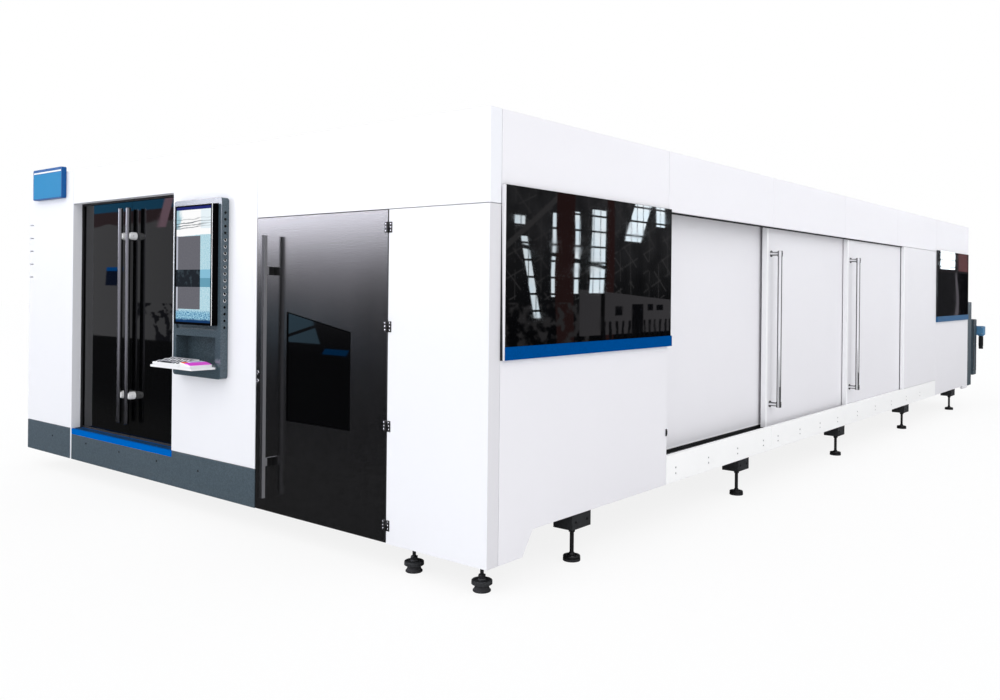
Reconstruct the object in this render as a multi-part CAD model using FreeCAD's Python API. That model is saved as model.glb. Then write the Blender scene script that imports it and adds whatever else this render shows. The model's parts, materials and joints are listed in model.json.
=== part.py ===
import FreeCAD, Part
import math
import os

# Fully enclosed fiber laser cutting machine for sheet metal, 3 m x 1.5 m working area, with two
# slatted pallets that change places. Millimetres, +Z up. Modelled with the front (the short side
# with the glass doors and the control screen) on Y = 0 facing -Y, X = 0 on the middle of the
# enclosure and the floor at Z = 0. The long side with the sliding doors faces +X. At the end the
# whole model moves in X and Y, so that the origin is the bottom centre of its bounding box.
# On the front, "s" is the distance from the +X corner. Depths on the long side are from its face.

V = FreeCAD.Vector

# ---- enclosure ----
enclosure_width = 4722.0
enclosure_length = 9508.0
enclosure_height = 2250.0
panel_thickness = 30.0
seam = 3.0
corner_x = enclosure_width / 2.0
inner_x = corner_x - panel_thickness
front_bottom_z = 130.0
side_bottom_z = 250.0
corner_return = 82.0

# ---- front face, widths from the corner ----
corner_panel_width = 662.0
cabinet_door_width = 1094.0
middle_panel_width = 890.0
glass_opening_width = 1355.0
front_fascia_height = 439.0
front_seam_z = enclosure_height - front_fascia_height
plinth_top_z = 354.0
glass_header_height = 241.0
glass_header_z = enclosure_height - glass_header_height
glass_recess = 77.0
jamb_depth = 66.0
jamb_width = 16.0
sill_height = 40.0
sill_depth = 120.0
s_cabinet = corner_panel_width
s_middle = s_cabinet + cabinet_door_width
s_glass = s_middle + middle_panel_width
s_left = s_glass + glass_opening_width
louvre_count = 5
louvre_pitch = 101.0
louvre_length = 62.0
louvre_height = 9.0
louvre_top_z = 1868.0
louvre_edge = 8.0

# ---- long side, distances from the front ----
window_module_end = 1671.0
fascia_height = 361.0
fascia_bottom_z = enclosure_height - fascia_height
window_lap = 12.0
window_top_z = fascia_bottom_z + window_lap
strip_top_z = 1144.0
strip_height = 62.0
rail_top_z = 420.0
glass_proud = 14.0
strip_proud = 20.0
strip_overhang = 18.0
window_overhang = 12.0
skirt_length = 266.0
skirt_slope = 83.0
far_window_gap = 53.0
far_window_length = 1530.0
rear_panel_length = 1293.0
far_window_end = enclosure_length - far_window_gap
rear_panel_end = far_window_end - far_window_length
door_bay_end = rear_panel_end - rear_panel_length
far_lug_length = 270.0
far_lug_drop = 35.0
fascia_last_trim = 50.0
fascia_pitch = (rear_panel_end - window_module_end + fascia_last_trim) / 4.0
rail_first_length = 1579.0
rail_last_length = 3075.0
rail_seam_1 = window_module_end + rail_first_length
rail_seam_2 = rear_panel_end - rail_last_length
groove = 3.0

# ---- sliding doors of the long side ----
leaf_thickness = 36.0
rear_leaf_depth = 36.0
middle_leaf_depth = 78.0
fixed_leaf_depth = 134.0
leaf_overlap = 62.0
fixed_leaf_length = 1647.0
rear_leaf_length = 1636.0
middle_door_start = window_module_end + fixed_leaf_length
rear_door_start = door_bay_end - rear_leaf_length
leaf_bottom_z = 398.0
leaf_lap = 20.0
leaf_top_z = fascia_bottom_z + leaf_lap
gutter_depth = 180.0
gutter_z = 366.0
track_plate = 6.0
track_rib = 8.0
head_rail_height = 40.0
run_clearance = 0.3

# ---- pull handles ----
side_handle_radius = 15.5
side_handle_standoff = 70.0
side_handle_bottom_z = 551.0
side_handle_head_gap = 175.0
side_handle_length = fascia_bottom_z - side_handle_head_gap - side_handle_bottom_z
side_handle_inset = 82.0
side_post_radius = 11.0
side_post_inset = 14.0
glass_handle_radius = 17.0
glass_handle_standoff = 55.0
glass_handle_bottom_z = 460.0
glass_handle_head_gap = 64.0
glass_handle_length = glass_header_z - glass_handle_head_gap - glass_handle_bottom_z
glass_handle_inset = 51.0
glass_post_radius = 22.0
glass_post_inset = 193.0
square_handle_width = 24.0
square_handle_standoff = 60.0
square_handle_bottom_z = 224.0
square_handle_length = 1478.0
square_handle_inset = 156.0
square_post_inset = 200.0
square_post_height = 36.0

# ---- black hinged cabinet door ----
cabinet_leaf_thickness = 45.0
door_gap = 3.0
hinge_gap = 4.0
hinge_height = 54.0
hinge_radius = 6.0
hinge_pin_radius = 3.0
hinge_standoff = 7.0
hinge_plate_width = 19.0
hinge_plate_thickness = 3.0
hinge_side_gap = 1.5
hinge_tongue = 5.0
hinge_levels = (222.0, 720.0, 1219.0, 1718.0)
window_left_inset = 286.0
window_right_inset = 281.0
window_bottom_z = 668.0
window_left_top_z = 1271.0
window_right_top_z = 1178.0
window_glass = 6.0
window_setback = 4.0

# ---- glass sliding leaves ----
meeting_offset = 658.0
meeting_s = s_glass + meeting_offset
glass_leaf_thickness = 12.0
glass_frame_thickness = 18.0
glass_frame_width = 60.0
glass_leaf_overlap = 32.0
hanger_lap = 7.0
hanger_depth = 48.0
hanger_height = 44.0
meeting_gap = 4.0

# ---- console ----
console_offset = 280.0
console_s = s_middle + console_offset
console_width = 516.0
console_bottom_z = 857.0
console_height = 1086.0
console_proud = 50.0
console_sunk = 42.0
console_radius = 22.0
console_inset = 15.0
console_clearance = 1.0
screen_recess = 12.0
screen_border = 33.0
monitor_offset = 48.0
monitor_s = console_s + monitor_offset
monitor_width = 408.0
monitor_height = 732.0
monitor_bottom_z = 1176.0
monitor_thickness = 42.0
monitor_round = 8.0
screen_recess_bottom_z = 1150.0
niche_offset = 55.0
niche_s = console_s + niche_offset
niche_width = 426.0
niche_bottom_z = 928.0
niche_height = 177.0
niche_depth = 84.0
vent_count = 18
vent_radius = 6.0
vent_corners = 8
vent_depth = 5.0
vent_pitch = 40.4
vent_bottom_z = 1166.0
tray_offset = 26.0
tray_start = console_s + tray_offset
tray_width = 450.0
tray_depth = 165.0
tray_thickness = 8.0
tray_lip = 5.0
tray_pivot_gap = 11.0
tray_barrel_radius = 6.0
tray_pin_radius = 3.0
tray_lug_width = 6.0
keyboard_width = 294.0
keyboard_depth = 140.0
keyboard_height = 22.0
keyboard_edge = 16.0
key_row_count = 5
key_row_height = 3.0
pad_width = 112.0
pad_height = 6.0
pad_gap = 6.0
keyboard_margin = 2.0
key_margin = 8.0
key_gap = 4.0
key_field_margin = 6.0

# ---- sign box ----
sign_offset = 112.0
sign_s = s_left + sign_offset
sign_width = 472.0
sign_height = 232.0
sign_depth = 37.0
sign_radius = 14.0
sign_rise = 40.0
hook_width = 60.0
hook_reach = 60.0
hook_thickness = 6.0

# ---- base and feet ----
floor_top_z = 400.0
front_base_depth = 262.0
front_step_depth = 130.0
front_base_gap = 4.0
foot_count = 5
foot_first = 748.0
foot_end_gap = 728.0
foot_pitch = (enclosure_length - foot_first - foot_end_gap) / (foot_count - 1)
foot_inset = 46.0
bracket_length = 172.0
bracket_offset = 36.0
bracket_inset = 10.0
bracket_width = 120.0
bracket_height = 82.0
pad_radius = 46.0
pad_rim = 21.0
stud_radius = 9.0
front_foot_s = (90.0, 534.0)
front_foot_inset = 75.0
rubber_radius = 40.0
rubber_height = 34.0
disc_radius = 50.0
disc_height = 21.0

# ---- frame posts ----
post_width = 60.0
corner_post_width = 38.0

# ---- control cabinet behind the black door ----
cabinet_wall = 3.0
cabinet_depth = 560.0
cabinet_side_gap = 104.0
cabinet_clearance = 1.0
mount_plate = 4.0
mount_gap = 40.0
drive_count = 6
drive_width = 110.0
drive_height = 330.0
drive_depth = 210.0
drive_gap = 45.0
duct_height = 60.0
duct_depth = 80.0

# ---- cutting bed and gantry ----
bed_inset = 1661.0
bed_x = corner_x - bed_inset
bed_front = 2560.0
bed_length = 3400.0
beam_width = 220.0
bed_half_span = 1000.0
bed_top_z = 900.0
ledge_z = 800.0
ledge_height = 40.0
ledge_width = 130.0
cross_beam = 160.0
guide_width = 34.0
guide_height = 26.0
gantry_height = 220.0
gantry_depth = 260.0
gantry_rise = 110.0
shoe_length = 420.0
shoe_width = 200.0
carriage_width = 320.0
carriage_height = 360.0
carriage_depth = 60.0
carriage_guide = 20.0
servo_reach = 130.0
servo_height = 150.0
head_half = 42.0
head_length = 330.0
head_plate = 24.0
nozzle_radius = 14.0
nozzle_length = 70.0
nozzle_clear = 130.0

# ---- pallets ----
pallet_bed_gap = 70.0
pallet_width = 2 * bed_half_span - beam_width - 2 * pallet_bed_gap
pallet_length = 3140.0
pallet_height = 100.0
pallet_rail = 60.0
slat_count = 17
slat_thickness = 6.0
slat_height = 70.0
tooth_count = 6
tooth_height = 18.0
pallet_setback = 130.0
pallet_start = bed_front + pallet_setback
pallet_side_gap = 10.3

# ---- exchange station ----
level_drop = 220.0
bed_gap = 100.0
lift_start = bed_front + bed_length + bed_gap
lift_length = 3240.0
lift_side = 60.0
lift_cross = 60.0
shoe_block = 40.0
guide_post = 90.0
guide_top_z = 1500.0
guide_inset = 420.0
end_opening_room = 230.0
end_opening_width = pallet_width + 2 * end_opening_room
end_opening_bottom_z = 450.0
end_opening_top_z = 1950.0

# ---- lift drive outside the end wall ----
drive_inset = 12.0
column_depth = 120.0
column_length = 270.0
column_bottom_z = 230.0
column_top_z = 1296.0
stand_gap = 122.0
stand_length = 172.0
stand_bottom_z = 347.0
stand_top_z = 1069.0
stand_tie = 60.0
gearbox_length = 120.0
gearbox_width = 133.0
gearbox_height = 118.0
gearbox_z = 862.0
gearbox_round = 12.0
gearbox_proud = 73.0
motor_offset = 42.0
motor_radius = 29.0
motor_length = 182.0
motor_sunk = 4.0

# ---- laser source ----
source_gap = 281.0
source_x = -inner_x + source_gap
source_y = 3300.0
source_width = 760.0
source_length = 900.0
source_height = 1150.0
source_edge = 20.0

# ---- travels, used for clearances only ----
work_travel = 3340.0


def block(x0, x1, y0, y1, z0, z1):
    """Box between two corners."""
    return Part.makeBox(x1 - x0, y1 - y0, z1 - z0, V(x0, y0, z0))


def front_block(s0, s1, y0, y1, z0, z1):
    """Box given by widths from the +X corner of the front."""
    return block(corner_x - s1, corner_x - s0, y0, y1, z0, z1)


def side_block(depth0, depth1, y0, y1, z0, z1):
    """Box given by depths behind the face of the long side; a negative depth stands proud."""
    return block(corner_x - depth1, corner_x - depth0, y0, y1, z0, z1)


def rod(radius, start, end):
    """Round bar between two points."""
    return Part.makeCylinder(radius, (end - start).Length, start, end - start)


def prism(points, direction):
    """Flat polygon pushed along a direction."""
    return Part.Face(Part.makePolygon(points + [points[0]])).extrude(direction)


def hex_bar(radius, x, y, z0, z1):
    """Upright hexagonal bar; the radius reaches its corners."""
    ring = []
    for corner in range(6):
        turn = math.radians(60.0 * corner)
        ring.append(V(x + radius * math.cos(turn), y + radius * math.sin(turn), z0))
    return prism(ring, V(0, 0, z1 - z0))


def fuse(first, *others):
    """One clean solid out of touching pieces."""
    return first.fuse(list(others)).removeSplitter()


def round_edges(shape, radius, axis):
    """Round the straight edges that run along one axis."""
    picked = []
    for edge in shape.Edges:
        ends = edge.Vertexes
        along = (ends[1].Point - ends[0].Point).normalize()
        if abs(along.dot(axis)) > 0.999:
            picked.append(edge)
    return shape.makeFillet(radius, picked)


# ---------------------------------------------------------------- base and feet

def foot_stations():
    """Middle of each foot pair along the machine."""
    return [foot_first + foot_pitch * number for number in range(foot_count)]


def base_frame():
    """Sheeted floor frame with a lower front step, door gutter and foot brackets."""
    far_y = enclosure_length - panel_thickness
    front_y = panel_thickness
    floor = block(-inner_x, corner_x - gutter_depth, front_step_depth, far_y,
                  side_bottom_z, floor_top_z)
    gutter = side_block(panel_thickness, gutter_depth, front_step_depth, far_y,
                        side_bottom_z, gutter_z)
    corner_base = front_block(panel_thickness, s_cabinet, front_y, front_base_depth,
                              front_bottom_z + front_base_gap, floor_top_z)
    door_base = front_block(s_cabinet, s_middle + panel_thickness,
                            cabinet_leaf_thickness + front_base_gap, front_base_depth,
                            front_bottom_z + front_base_gap, floor_top_z)
    toe = front_block(s_middle + panel_thickness, enclosure_width - panel_thickness, front_y,
                      front_base_depth, front_bottom_z + front_base_gap, side_bottom_z)
    step = front_block(s_middle + panel_thickness, enclosure_width - panel_thickness, front_y,
                       front_step_depth, side_bottom_z, plinth_top_z - sill_height)
    brackets = []
    outer = corner_x - bracket_inset
    for station in foot_stations():
        y = station + bracket_offset
        for x0 in (outer - bracket_width, -outer):
            brackets.append(block(x0, x0 + bracket_width, y - bracket_length / 2.0,
                                  y + bracket_length / 2.0, side_bottom_z - bracket_height,
                                  side_bottom_z))
    return fuse(floor, gutter, corner_base, door_base, toe, step, *brackets)


def slim_foot(x, y):
    """Round pad on a hexagonal stud, up to its bracket."""
    pad = Part.makeCylinder(pad_radius, pad_rim, V(x, y, 0))
    stud = hex_bar(stud_radius, x, y, pad_rim, side_bottom_z - bracket_height)
    return fuse(pad, stud)


def levelling_feet():
    """Ten slim feet, five under each long side."""
    x = corner_x - foot_inset
    feet = []
    for y in foot_stations():
        feet.append(slim_foot(x, y))
        feet.append(slim_foot(-x, y))
    return Part.makeCompound(feet)


def front_feet():
    """Two heavy feet with a rubber base under the corner cabinet."""
    feet = []
    for s in front_foot_s:
        x = corner_x - s
        y = front_foot_inset
        rubber = Part.makeCylinder(rubber_radius, rubber_height, V(x, y, 0))
        disc = Part.makeCylinder(disc_radius, disc_height, V(x, y, rubber_height))
        stud = hex_bar(stud_radius, x, y, rubber_height + disc_height,
                       front_bottom_z + front_base_gap)
        feet.append(fuse(rubber, disc, stud))
    return Part.makeCompound(feet)


# ---------------------------------------------------------------- frame, roof and end

def post(depth, y0, bottom_z, width=None):
    """Upright square tube behind the long side's panels."""
    size = width or post_width
    return side_block(depth, depth + size, y0, y0 + size, bottom_z,
                      enclosure_height - panel_thickness)


def enclosure_frame():
    """Posts that carry the panels and roof, and the hanger rail of the glass doors."""
    step_z = plinth_top_z - sill_height
    posts = [post(panel_thickness, panel_thickness, floor_top_z),
             post(panel_thickness, window_module_end - post_width - seam, gutter_z),
             post(panel_thickness, door_bay_end + seam + 2 * seam, gutter_z),
             post(panel_thickness, rear_panel_end - post_width / 2.0, gutter_z),
             post(panel_thickness, enclosure_length - panel_thickness - post_width, gutter_z)]
    door_post = front_block(s_middle + panel_thickness, s_middle + panel_thickness + post_width,
                            panel_thickness, panel_thickness + post_width, step_z,
                            enclosure_height - panel_thickness)
    left_post = block(-inner_x, -inner_x + corner_post_width, panel_thickness,
                      panel_thickness + post_width, step_z, enclosure_height - panel_thickness)
    back = []
    for y in (enclosure_length / 2.0 - post_width / 2.0,
              enclosure_length - panel_thickness - post_width):
        back.append(block(-inner_x, -inner_x + post_width, y, y + post_width, floor_top_z,
                          enclosure_height - panel_thickness))
    rail_z = leaf_hang_z() + run_clearance
    rail = front_block(s_middle + panel_thickness + post_width,
                       enclosure_width - panel_thickness - corner_post_width, jamb_depth,
                       jamb_depth + hanger_depth, rail_z, rail_z + hanger_height)
    return Part.makeCompound(posts + [door_post, left_post, rail] + back)


def leaf_hang_z():
    """Top edge of the glass leaves, behind the header."""
    return glass_header_z + hanger_lap


def roof():
    """Flat roof between the fascias."""
    return block(-inner_x, inner_x, panel_thickness, enclosure_length - panel_thickness,
                 enclosure_height - panel_thickness, enclosure_height)


def end_wall():
    """Far wall with the opening through which sheets are loaded on the pallets."""
    wall = block(-inner_x, inner_x, enclosure_length - panel_thickness, enclosure_length,
                 side_bottom_z, enclosure_height)
    opening = block(bed_x - end_opening_width / 2.0, bed_x + end_opening_width / 2.0,
                    enclosure_length - 2 * panel_thickness, enclosure_length + panel_thickness,
                    end_opening_bottom_z, end_opening_top_z)
    return wall.cut(opening)


def back_panel(number):
    """One of the two plain panels of the hidden long side."""
    half = enclosure_length / 2.0
    y0 = panel_thickness + seam if number == 0 else half + seam / 2.0
    y1 = half - seam / 2.0 if number == 0 else enclosure_length
    return block(-corner_x, -inner_x, y0, y1, side_bottom_z, enclosure_height)


# ---------------------------------------------------------------- front panels

def corner_angle(s1, z0, z1):
    """Panel that folds round the front corner."""
    face = front_block(0, s1, 0, panel_thickness, z0, z1)
    side = side_block(0, panel_thickness, 0, corner_return, z0, z1)
    return fuse(face, side)


def fascia_front():
    """Band over the black door and the corner panel."""
    return corner_angle(s_middle - seam / 2.0, front_seam_z, enclosure_height)


def front_corner_panel():
    """White panel between the black door and the corner."""
    return corner_angle(corner_panel_width - seam / 2.0, front_bottom_z, front_seam_z - seam)


def front_middle_panel():
    """White panel beside the glass doors, with the header over them and the console cut-out."""
    upright = front_block(s_middle + seam / 2.0, s_glass, 0, panel_thickness, plinth_top_z + seam,
                          enclosure_height)
    header = front_block(s_glass, s_left - seam, 0, panel_thickness, glass_header_z,
                         enclosure_height)
    under = front_block(s_glass, s_left - seam, 0, jamb_depth, glass_header_z,
                        glass_header_z + jamb_width)
    jamb = front_block(s_glass - jamb_width, s_glass, 0, jamb_depth, plinth_top_z + seam,
                       glass_header_z + jamb_width)
    cut = front_block(console_s + console_inset, console_s + console_width - console_inset,
                      -panel_thickness, 2 * panel_thickness, console_bottom_z + console_inset,
                      console_bottom_z + console_height - console_inset)
    return fuse(upright, header, under, jamb).cut(cut)


def front_left_panel():
    """White column left of the glass doors, with its jamb and five louvre slots."""
    face = front_block(s_left + jamb_width, enclosure_width, 0, panel_thickness,
                       plinth_top_z + seam, enclosure_height)
    edge = front_block(s_left, s_left + jamb_width, 0, panel_thickness, front_bottom_z,
                       enclosure_height)
    jamb = front_block(s_left, s_left + jamb_width, 0, jamb_depth, plinth_top_z + seam,
                       glass_header_z + jamb_width)
    slots = []
    for number in range(louvre_count):
        z = louvre_top_z - louvre_pitch * number
        s1 = enclosure_width - louvre_edge
        slots.append(front_block(s1 - louvre_length, s1, -seam, panel_thickness + seam, z,
                                 z + louvre_height))
    return fuse(face, edge, jamb).cut(Part.makeCompound(slots))


def front_plinth():
    """Slate kick plates: one under the doors and middle panel, one under the left column."""
    sill_z = plinth_top_z - sill_height
    long_plate = front_block(s_middle + seam / 2.0, s_left - seam, 0, panel_thickness,
                             front_bottom_z, sill_z)
    upper = front_block(s_middle + seam / 2.0, s_glass - seam, 0, panel_thickness, sill_z,
                        plinth_top_z)
    main = fuse(long_plate, upper)
    short_plate = front_block(s_left + jamb_width + seam, enclosure_width, 0, panel_thickness,
                              front_bottom_z, plinth_top_z)
    return Part.makeCompound([main, short_plate])


def door_sill():
    """Blue threshold of the glass doors, with the groove in which the leaves run."""
    s1 = s_left - seam
    sill = front_block(s_glass - seam + seam, s1, 0, sill_depth, plinth_top_z - sill_height,
                       plinth_top_z)
    groove_y = glass_recess + glass_leaf_thickness
    slot = front_block(s_glass - seam, s1 + seam, groove_y + glass_frame_thickness,
                       sill_depth - seam, plinth_top_z - sill_height / 2.0, plinth_top_z + seam)
    return sill.cut(slot)


# ---------------------------------------------------------------- glass sliding doors

def glass_leaf(s0, s1):
    """Glass sheet on a back frame; it hangs from the rail and runs over the sill."""
    bottom = plinth_top_z + run_clearance
    top = leaf_hang_z()
    back = glass_recess + glass_leaf_thickness
    sheet = front_block(s0, s1, glass_recess, back, bottom, top)
    frame = front_block(s0, s1, back, back + glass_frame_thickness, bottom, top)
    hole = front_block(s0 + glass_frame_width, s1 - glass_frame_width, back,
                       back + 2 * glass_frame_thickness, bottom + glass_frame_width,
                       top - glass_frame_width)
    return fuse(sheet, frame.cut(hole))


def glass_leaf_left():
    """Leaf that opens toward the left column."""
    return glass_leaf(meeting_s + meeting_gap / 2.0, s_left + glass_leaf_overlap)


def glass_leaf_right():
    """Leaf that opens toward the middle panel."""
    return glass_leaf(s_glass - glass_leaf_overlap, meeting_s - meeting_gap / 2.0)


def glass_handle(side):
    """Long round tube on two stout spacers; side is +1 for the left leaf."""
    s = meeting_s + side * glass_handle_inset
    y = glass_recess - glass_handle_standoff
    top = glass_handle_bottom_z + glass_handle_length
    tube = rod(glass_handle_radius, V(corner_x - s, y, glass_handle_bottom_z),
               V(corner_x - s, y, top))
    posts = []
    for z in (glass_handle_bottom_z + glass_post_inset, top - glass_post_inset):
        ring = []
        for corner in range(8):
            turn = math.radians(45.0 * (corner + 0.5))
            ring.append(V(corner_x - s + glass_post_radius * math.cos(turn), y,
                          z + glass_post_radius * math.sin(turn)))
        posts.append(prism(ring, V(0, glass_recess - y, 0)))
    return fuse(tube, *posts)


# ---------------------------------------------------------------- black cabinet door

def hinge_axis():
    """Pivot of the black door: X and Y of its pins."""
    return V(corner_x - corner_panel_width - hinge_gap / 2.0 + seam / 2.0, -hinge_standoff, 0)


def door_window_points(grow, y):
    """Trapezoid of the door's window: level bottom, sloping top."""
    left = corner_x - s_middle + window_left_inset
    right = corner_x - s_cabinet - window_right_inset
    return [V(left - grow, y, window_bottom_z - grow), V(right + grow, y, window_bottom_z - grow),
            V(right + grow, y, window_right_top_z + grow),
            V(left - grow, y, window_left_top_z + grow)]


def cabinet_door():
    """Black door leaf with its window hole and the rebate that holds the glass."""
    leaf = front_block(s_cabinet + hinge_gap, s_middle - door_gap, 0, cabinet_leaf_thickness,
                       front_bottom_z + door_gap, front_seam_z - door_gap)
    hole = prism(door_window_points(0, -seam), V(0, cabinet_leaf_thickness + 2 * seam, 0))
    rebate = prism(door_window_points(window_glass * 2, window_setback), V(0, window_glass, 0))
    return leaf.cut(hole).cut(rebate)


def cabinet_door_window():
    """Dark glass in the door's rebate."""
    return prism(door_window_points(window_glass * 2, window_setback), V(0, window_glass, 0))


def cabinet_door_handle():
    """Long square tube on two square posts."""
    s = s_middle - square_handle_inset
    half = square_handle_width / 2.0
    y = -square_handle_standoff
    top = square_handle_bottom_z + square_handle_length
    bar = front_block(s - half, s + half, y - half, y + half, square_handle_bottom_z, top)
    posts = []
    for z in (square_handle_bottom_z + square_post_inset, top - square_post_inset):
        posts.append(front_block(s - half, s + half, y, 0, z - square_post_height / 2.0,
                                 z + square_post_height / 2.0))
    return fuse(bar, *posts)


def hinge_plate(z, side):
    """Flat hinge leaf on the face of the door (side -1) or of the corner panel (side +1)."""
    axis = hinge_axis()
    near = hinge_radius + hinge_side_gap
    x0 = axis.x + side * near
    x1 = axis.x + side * (near + hinge_plate_width)
    return block(min(x0, x1), max(x0, x1), -hinge_plate_thickness, 0, z - hinge_height / 2.0,
                 z + hinge_height / 2.0)


def hinge_knuckle(z0, z1, side):
    """Barrel length with the tongue that joins it to its plate."""
    axis = hinge_axis()
    barrel = rod(hinge_radius, V(axis.x, axis.y, z0), V(axis.x, axis.y, z1))
    near = hinge_radius + hinge_side_gap
    x0 = axis.x
    x1 = axis.x + side * (near + hinge_plate_thickness)
    tongue = block(min(x0, x1), max(x0, x1), -hinge_tongue, 0.0, z0, z1)
    return fuse(barrel, tongue)


def cabinet_door_hinge_plates():
    """Fixed halves of the lift-off hinges: lower knuckle and pin, on the corner panel."""
    axis = hinge_axis()
    halves = []
    for z in hinge_levels:
        low = hinge_knuckle(z - hinge_height / 2.0, z - run_clearance, 1)
        pin = rod(hinge_pin_radius, V(axis.x, axis.y, z - hinge_height / 2.0),
                  V(axis.x, axis.y, z + hinge_height / 2.0))
        halves.append(fuse(hinge_plate(z, 1), low, pin))
    return Part.makeCompound(halves)


def cabinet_door_hinge_leaves():
    """Moving halves of the hinges on the door, each with its bored upper knuckle."""
    axis = hinge_axis()
    halves = []
    for z in hinge_levels:
        upper = hinge_knuckle(z, z + hinge_height / 2.0, -1)
        bore = rod(hinge_pin_radius + run_clearance, V(axis.x, axis.y, z - hinge_height),
                   V(axis.x, axis.y, z + hinge_height))
        halves.append(fuse(hinge_plate(z, -1), upper).cut(bore))
    return Part.makeCompound(halves)


# ---------------------------------------------------------------- long side

def side_profile(points, depth0, depth1):
    """Panel of the long side cut to an outline in Y and Z."""
    corners = [V(corner_x - depth1, y, z) for y, z in points]
    return prism(corners, V(depth1 - depth0, 0, 0))


def near_side_panel():
    """Panel under the near window; its skirt drops at the front to cover the lower cabinet."""
    y0 = corner_return + seam
    y1 = window_module_end - seam / 2.0
    points = [(y0, front_bottom_z), (skirt_length, front_bottom_z),
              (skirt_length + skirt_slope, side_bottom_z), (y1, side_bottom_z),
              (y1, strip_top_z), (y0, strip_top_z)]
    return side_profile(points, 0, panel_thickness)


def far_side_panel():
    """Panel under the far window, with the end strip and the small lug at its foot."""
    y0 = rear_panel_end + seam / 2.0
    y1 = enclosure_length
    lug_z = side_bottom_z - far_lug_drop
    points = [(y0, side_bottom_z), (y1 - far_lug_length, side_bottom_z),
              (y1 - far_lug_length + far_lug_drop, lug_z), (y1, lug_z),
              (y1, fascia_bottom_z - seam), (far_window_end + seam, fascia_bottom_z - seam),
              (far_window_end + seam, strip_top_z), (y0, strip_top_z)]
    return side_profile(points, 0, panel_thickness)


def window(y0, y1):
    """Black glass sheet that stands a little proud and laps the fascia."""
    return side_block(-glass_proud, 0, y0, y1, strip_top_z, window_top_z)


def near_window():
    return window(corner_return + seam, window_module_end + window_overhang)


def far_window():
    return window(rear_panel_end, far_window_end)


def window_strips():
    """Blue bars under the two windows."""
    bars = []
    for y0, y1 in ((corner_return + seam, window_module_end + strip_overhang),
                   (rear_panel_end, far_window_end)):
        bars.append(side_block(-strip_proud, 0, y0, y1, strip_top_z - strip_height, strip_top_z))
    return Part.makeCompound(bars)


def fascia_seams():
    """Where the band of the long side is divided."""
    seams = [corner_return + seam / 2.0]
    first = window_module_end
    for number in range(5):
        seams.append(first + fascia_pitch * number)
    seams[5] = rear_panel_end
    return seams + [enclosure_length + seam / 2.0]


def fascia_side(first, last):
    """Length of the side band between two seams, with a groove at each seam inside it."""
    seams = fascia_seams()
    band = side_block(0, panel_thickness, seams[first] + seam / 2.0, seams[last] - seam / 2.0,
                      fascia_bottom_z, enclosure_height)
    for number in range(first + 1, last):
        cut = side_block(-groove, groove, seams[number] - groove / 2.0,
                         seams[number] + groove / 2.0, fascia_bottom_z - groove,
                         enclosure_height + groove)
        band = band.cut(cut)
    return band


def base_rail(y0, y1):
    """White rail below the sliding doors; its top edge hides their track."""
    return side_block(0, panel_thickness, y0 + seam / 2.0, y1 - seam / 2.0, side_bottom_z,
                      rail_top_z)


def rear_side_panel():
    """Fixed panel between the sliding doors and the far window."""
    return side_block(0, panel_thickness, door_bay_end + seam, rear_panel_end - seam / 2.0,
                      rail_top_z + seam, fascia_bottom_z - seam)


def door_leaf(depth, y0, y1):
    """Closed double-skinned door leaf."""
    return side_block(depth, depth + leaf_thickness, y0, y1, leaf_bottom_z, leaf_top_z)


def fixed_side_panel():
    """Fixed leaf next to the near window, deepest in the bay."""
    return door_leaf(fixed_leaf_depth, window_module_end + seam, middle_door_start + leaf_overlap)


def side_door_middle():
    return door_leaf(middle_leaf_depth, middle_door_start, rear_door_start + leaf_overlap)


def side_door_rear():
    return door_leaf(rear_leaf_depth, rear_door_start, door_bay_end - seam)


def side_door_tracks():
    """Floor plate with one running rib for each leaf, and the guide rail over the leaves."""
    y0 = window_module_end + seam
    y1 = door_bay_end
    plate = side_block(panel_thickness, gutter_depth, y0, y1, gutter_z, gutter_z + track_plate)
    ribs = []
    for depth in (rear_leaf_depth, middle_leaf_depth, fixed_leaf_depth):
        middle = depth + leaf_thickness / 2.0
        ribs.append(side_block(middle - track_rib / 2.0, middle + track_rib / 2.0, y0, y1,
                               gutter_z + track_plate, leaf_bottom_z - run_clearance))
    head = side_block(panel_thickness, gutter_depth, y0, y1, leaf_top_z + run_clearance,
                      leaf_top_z + head_rail_height)
    return Part.makeCompound([fuse(plate, *ribs), head])


def side_handle(depth, door_start):
    """Chrome pull handle: tube held near its ends by two round posts."""
    y = door_start + side_handle_inset
    face_x = corner_x - depth
    x = face_x + side_handle_standoff
    top = side_handle_bottom_z + side_handle_length
    pieces = []
    for z in (side_handle_bottom_z + side_post_inset, top - side_post_inset):
        pieces.append(rod(side_post_radius, V(face_x, y, z), V(x, y, z)))
    tube = rod(side_handle_radius, V(x, y, side_handle_bottom_z), V(x, y, top))
    return fuse(tube, *pieces)


# ---------------------------------------------------------------- console

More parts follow.
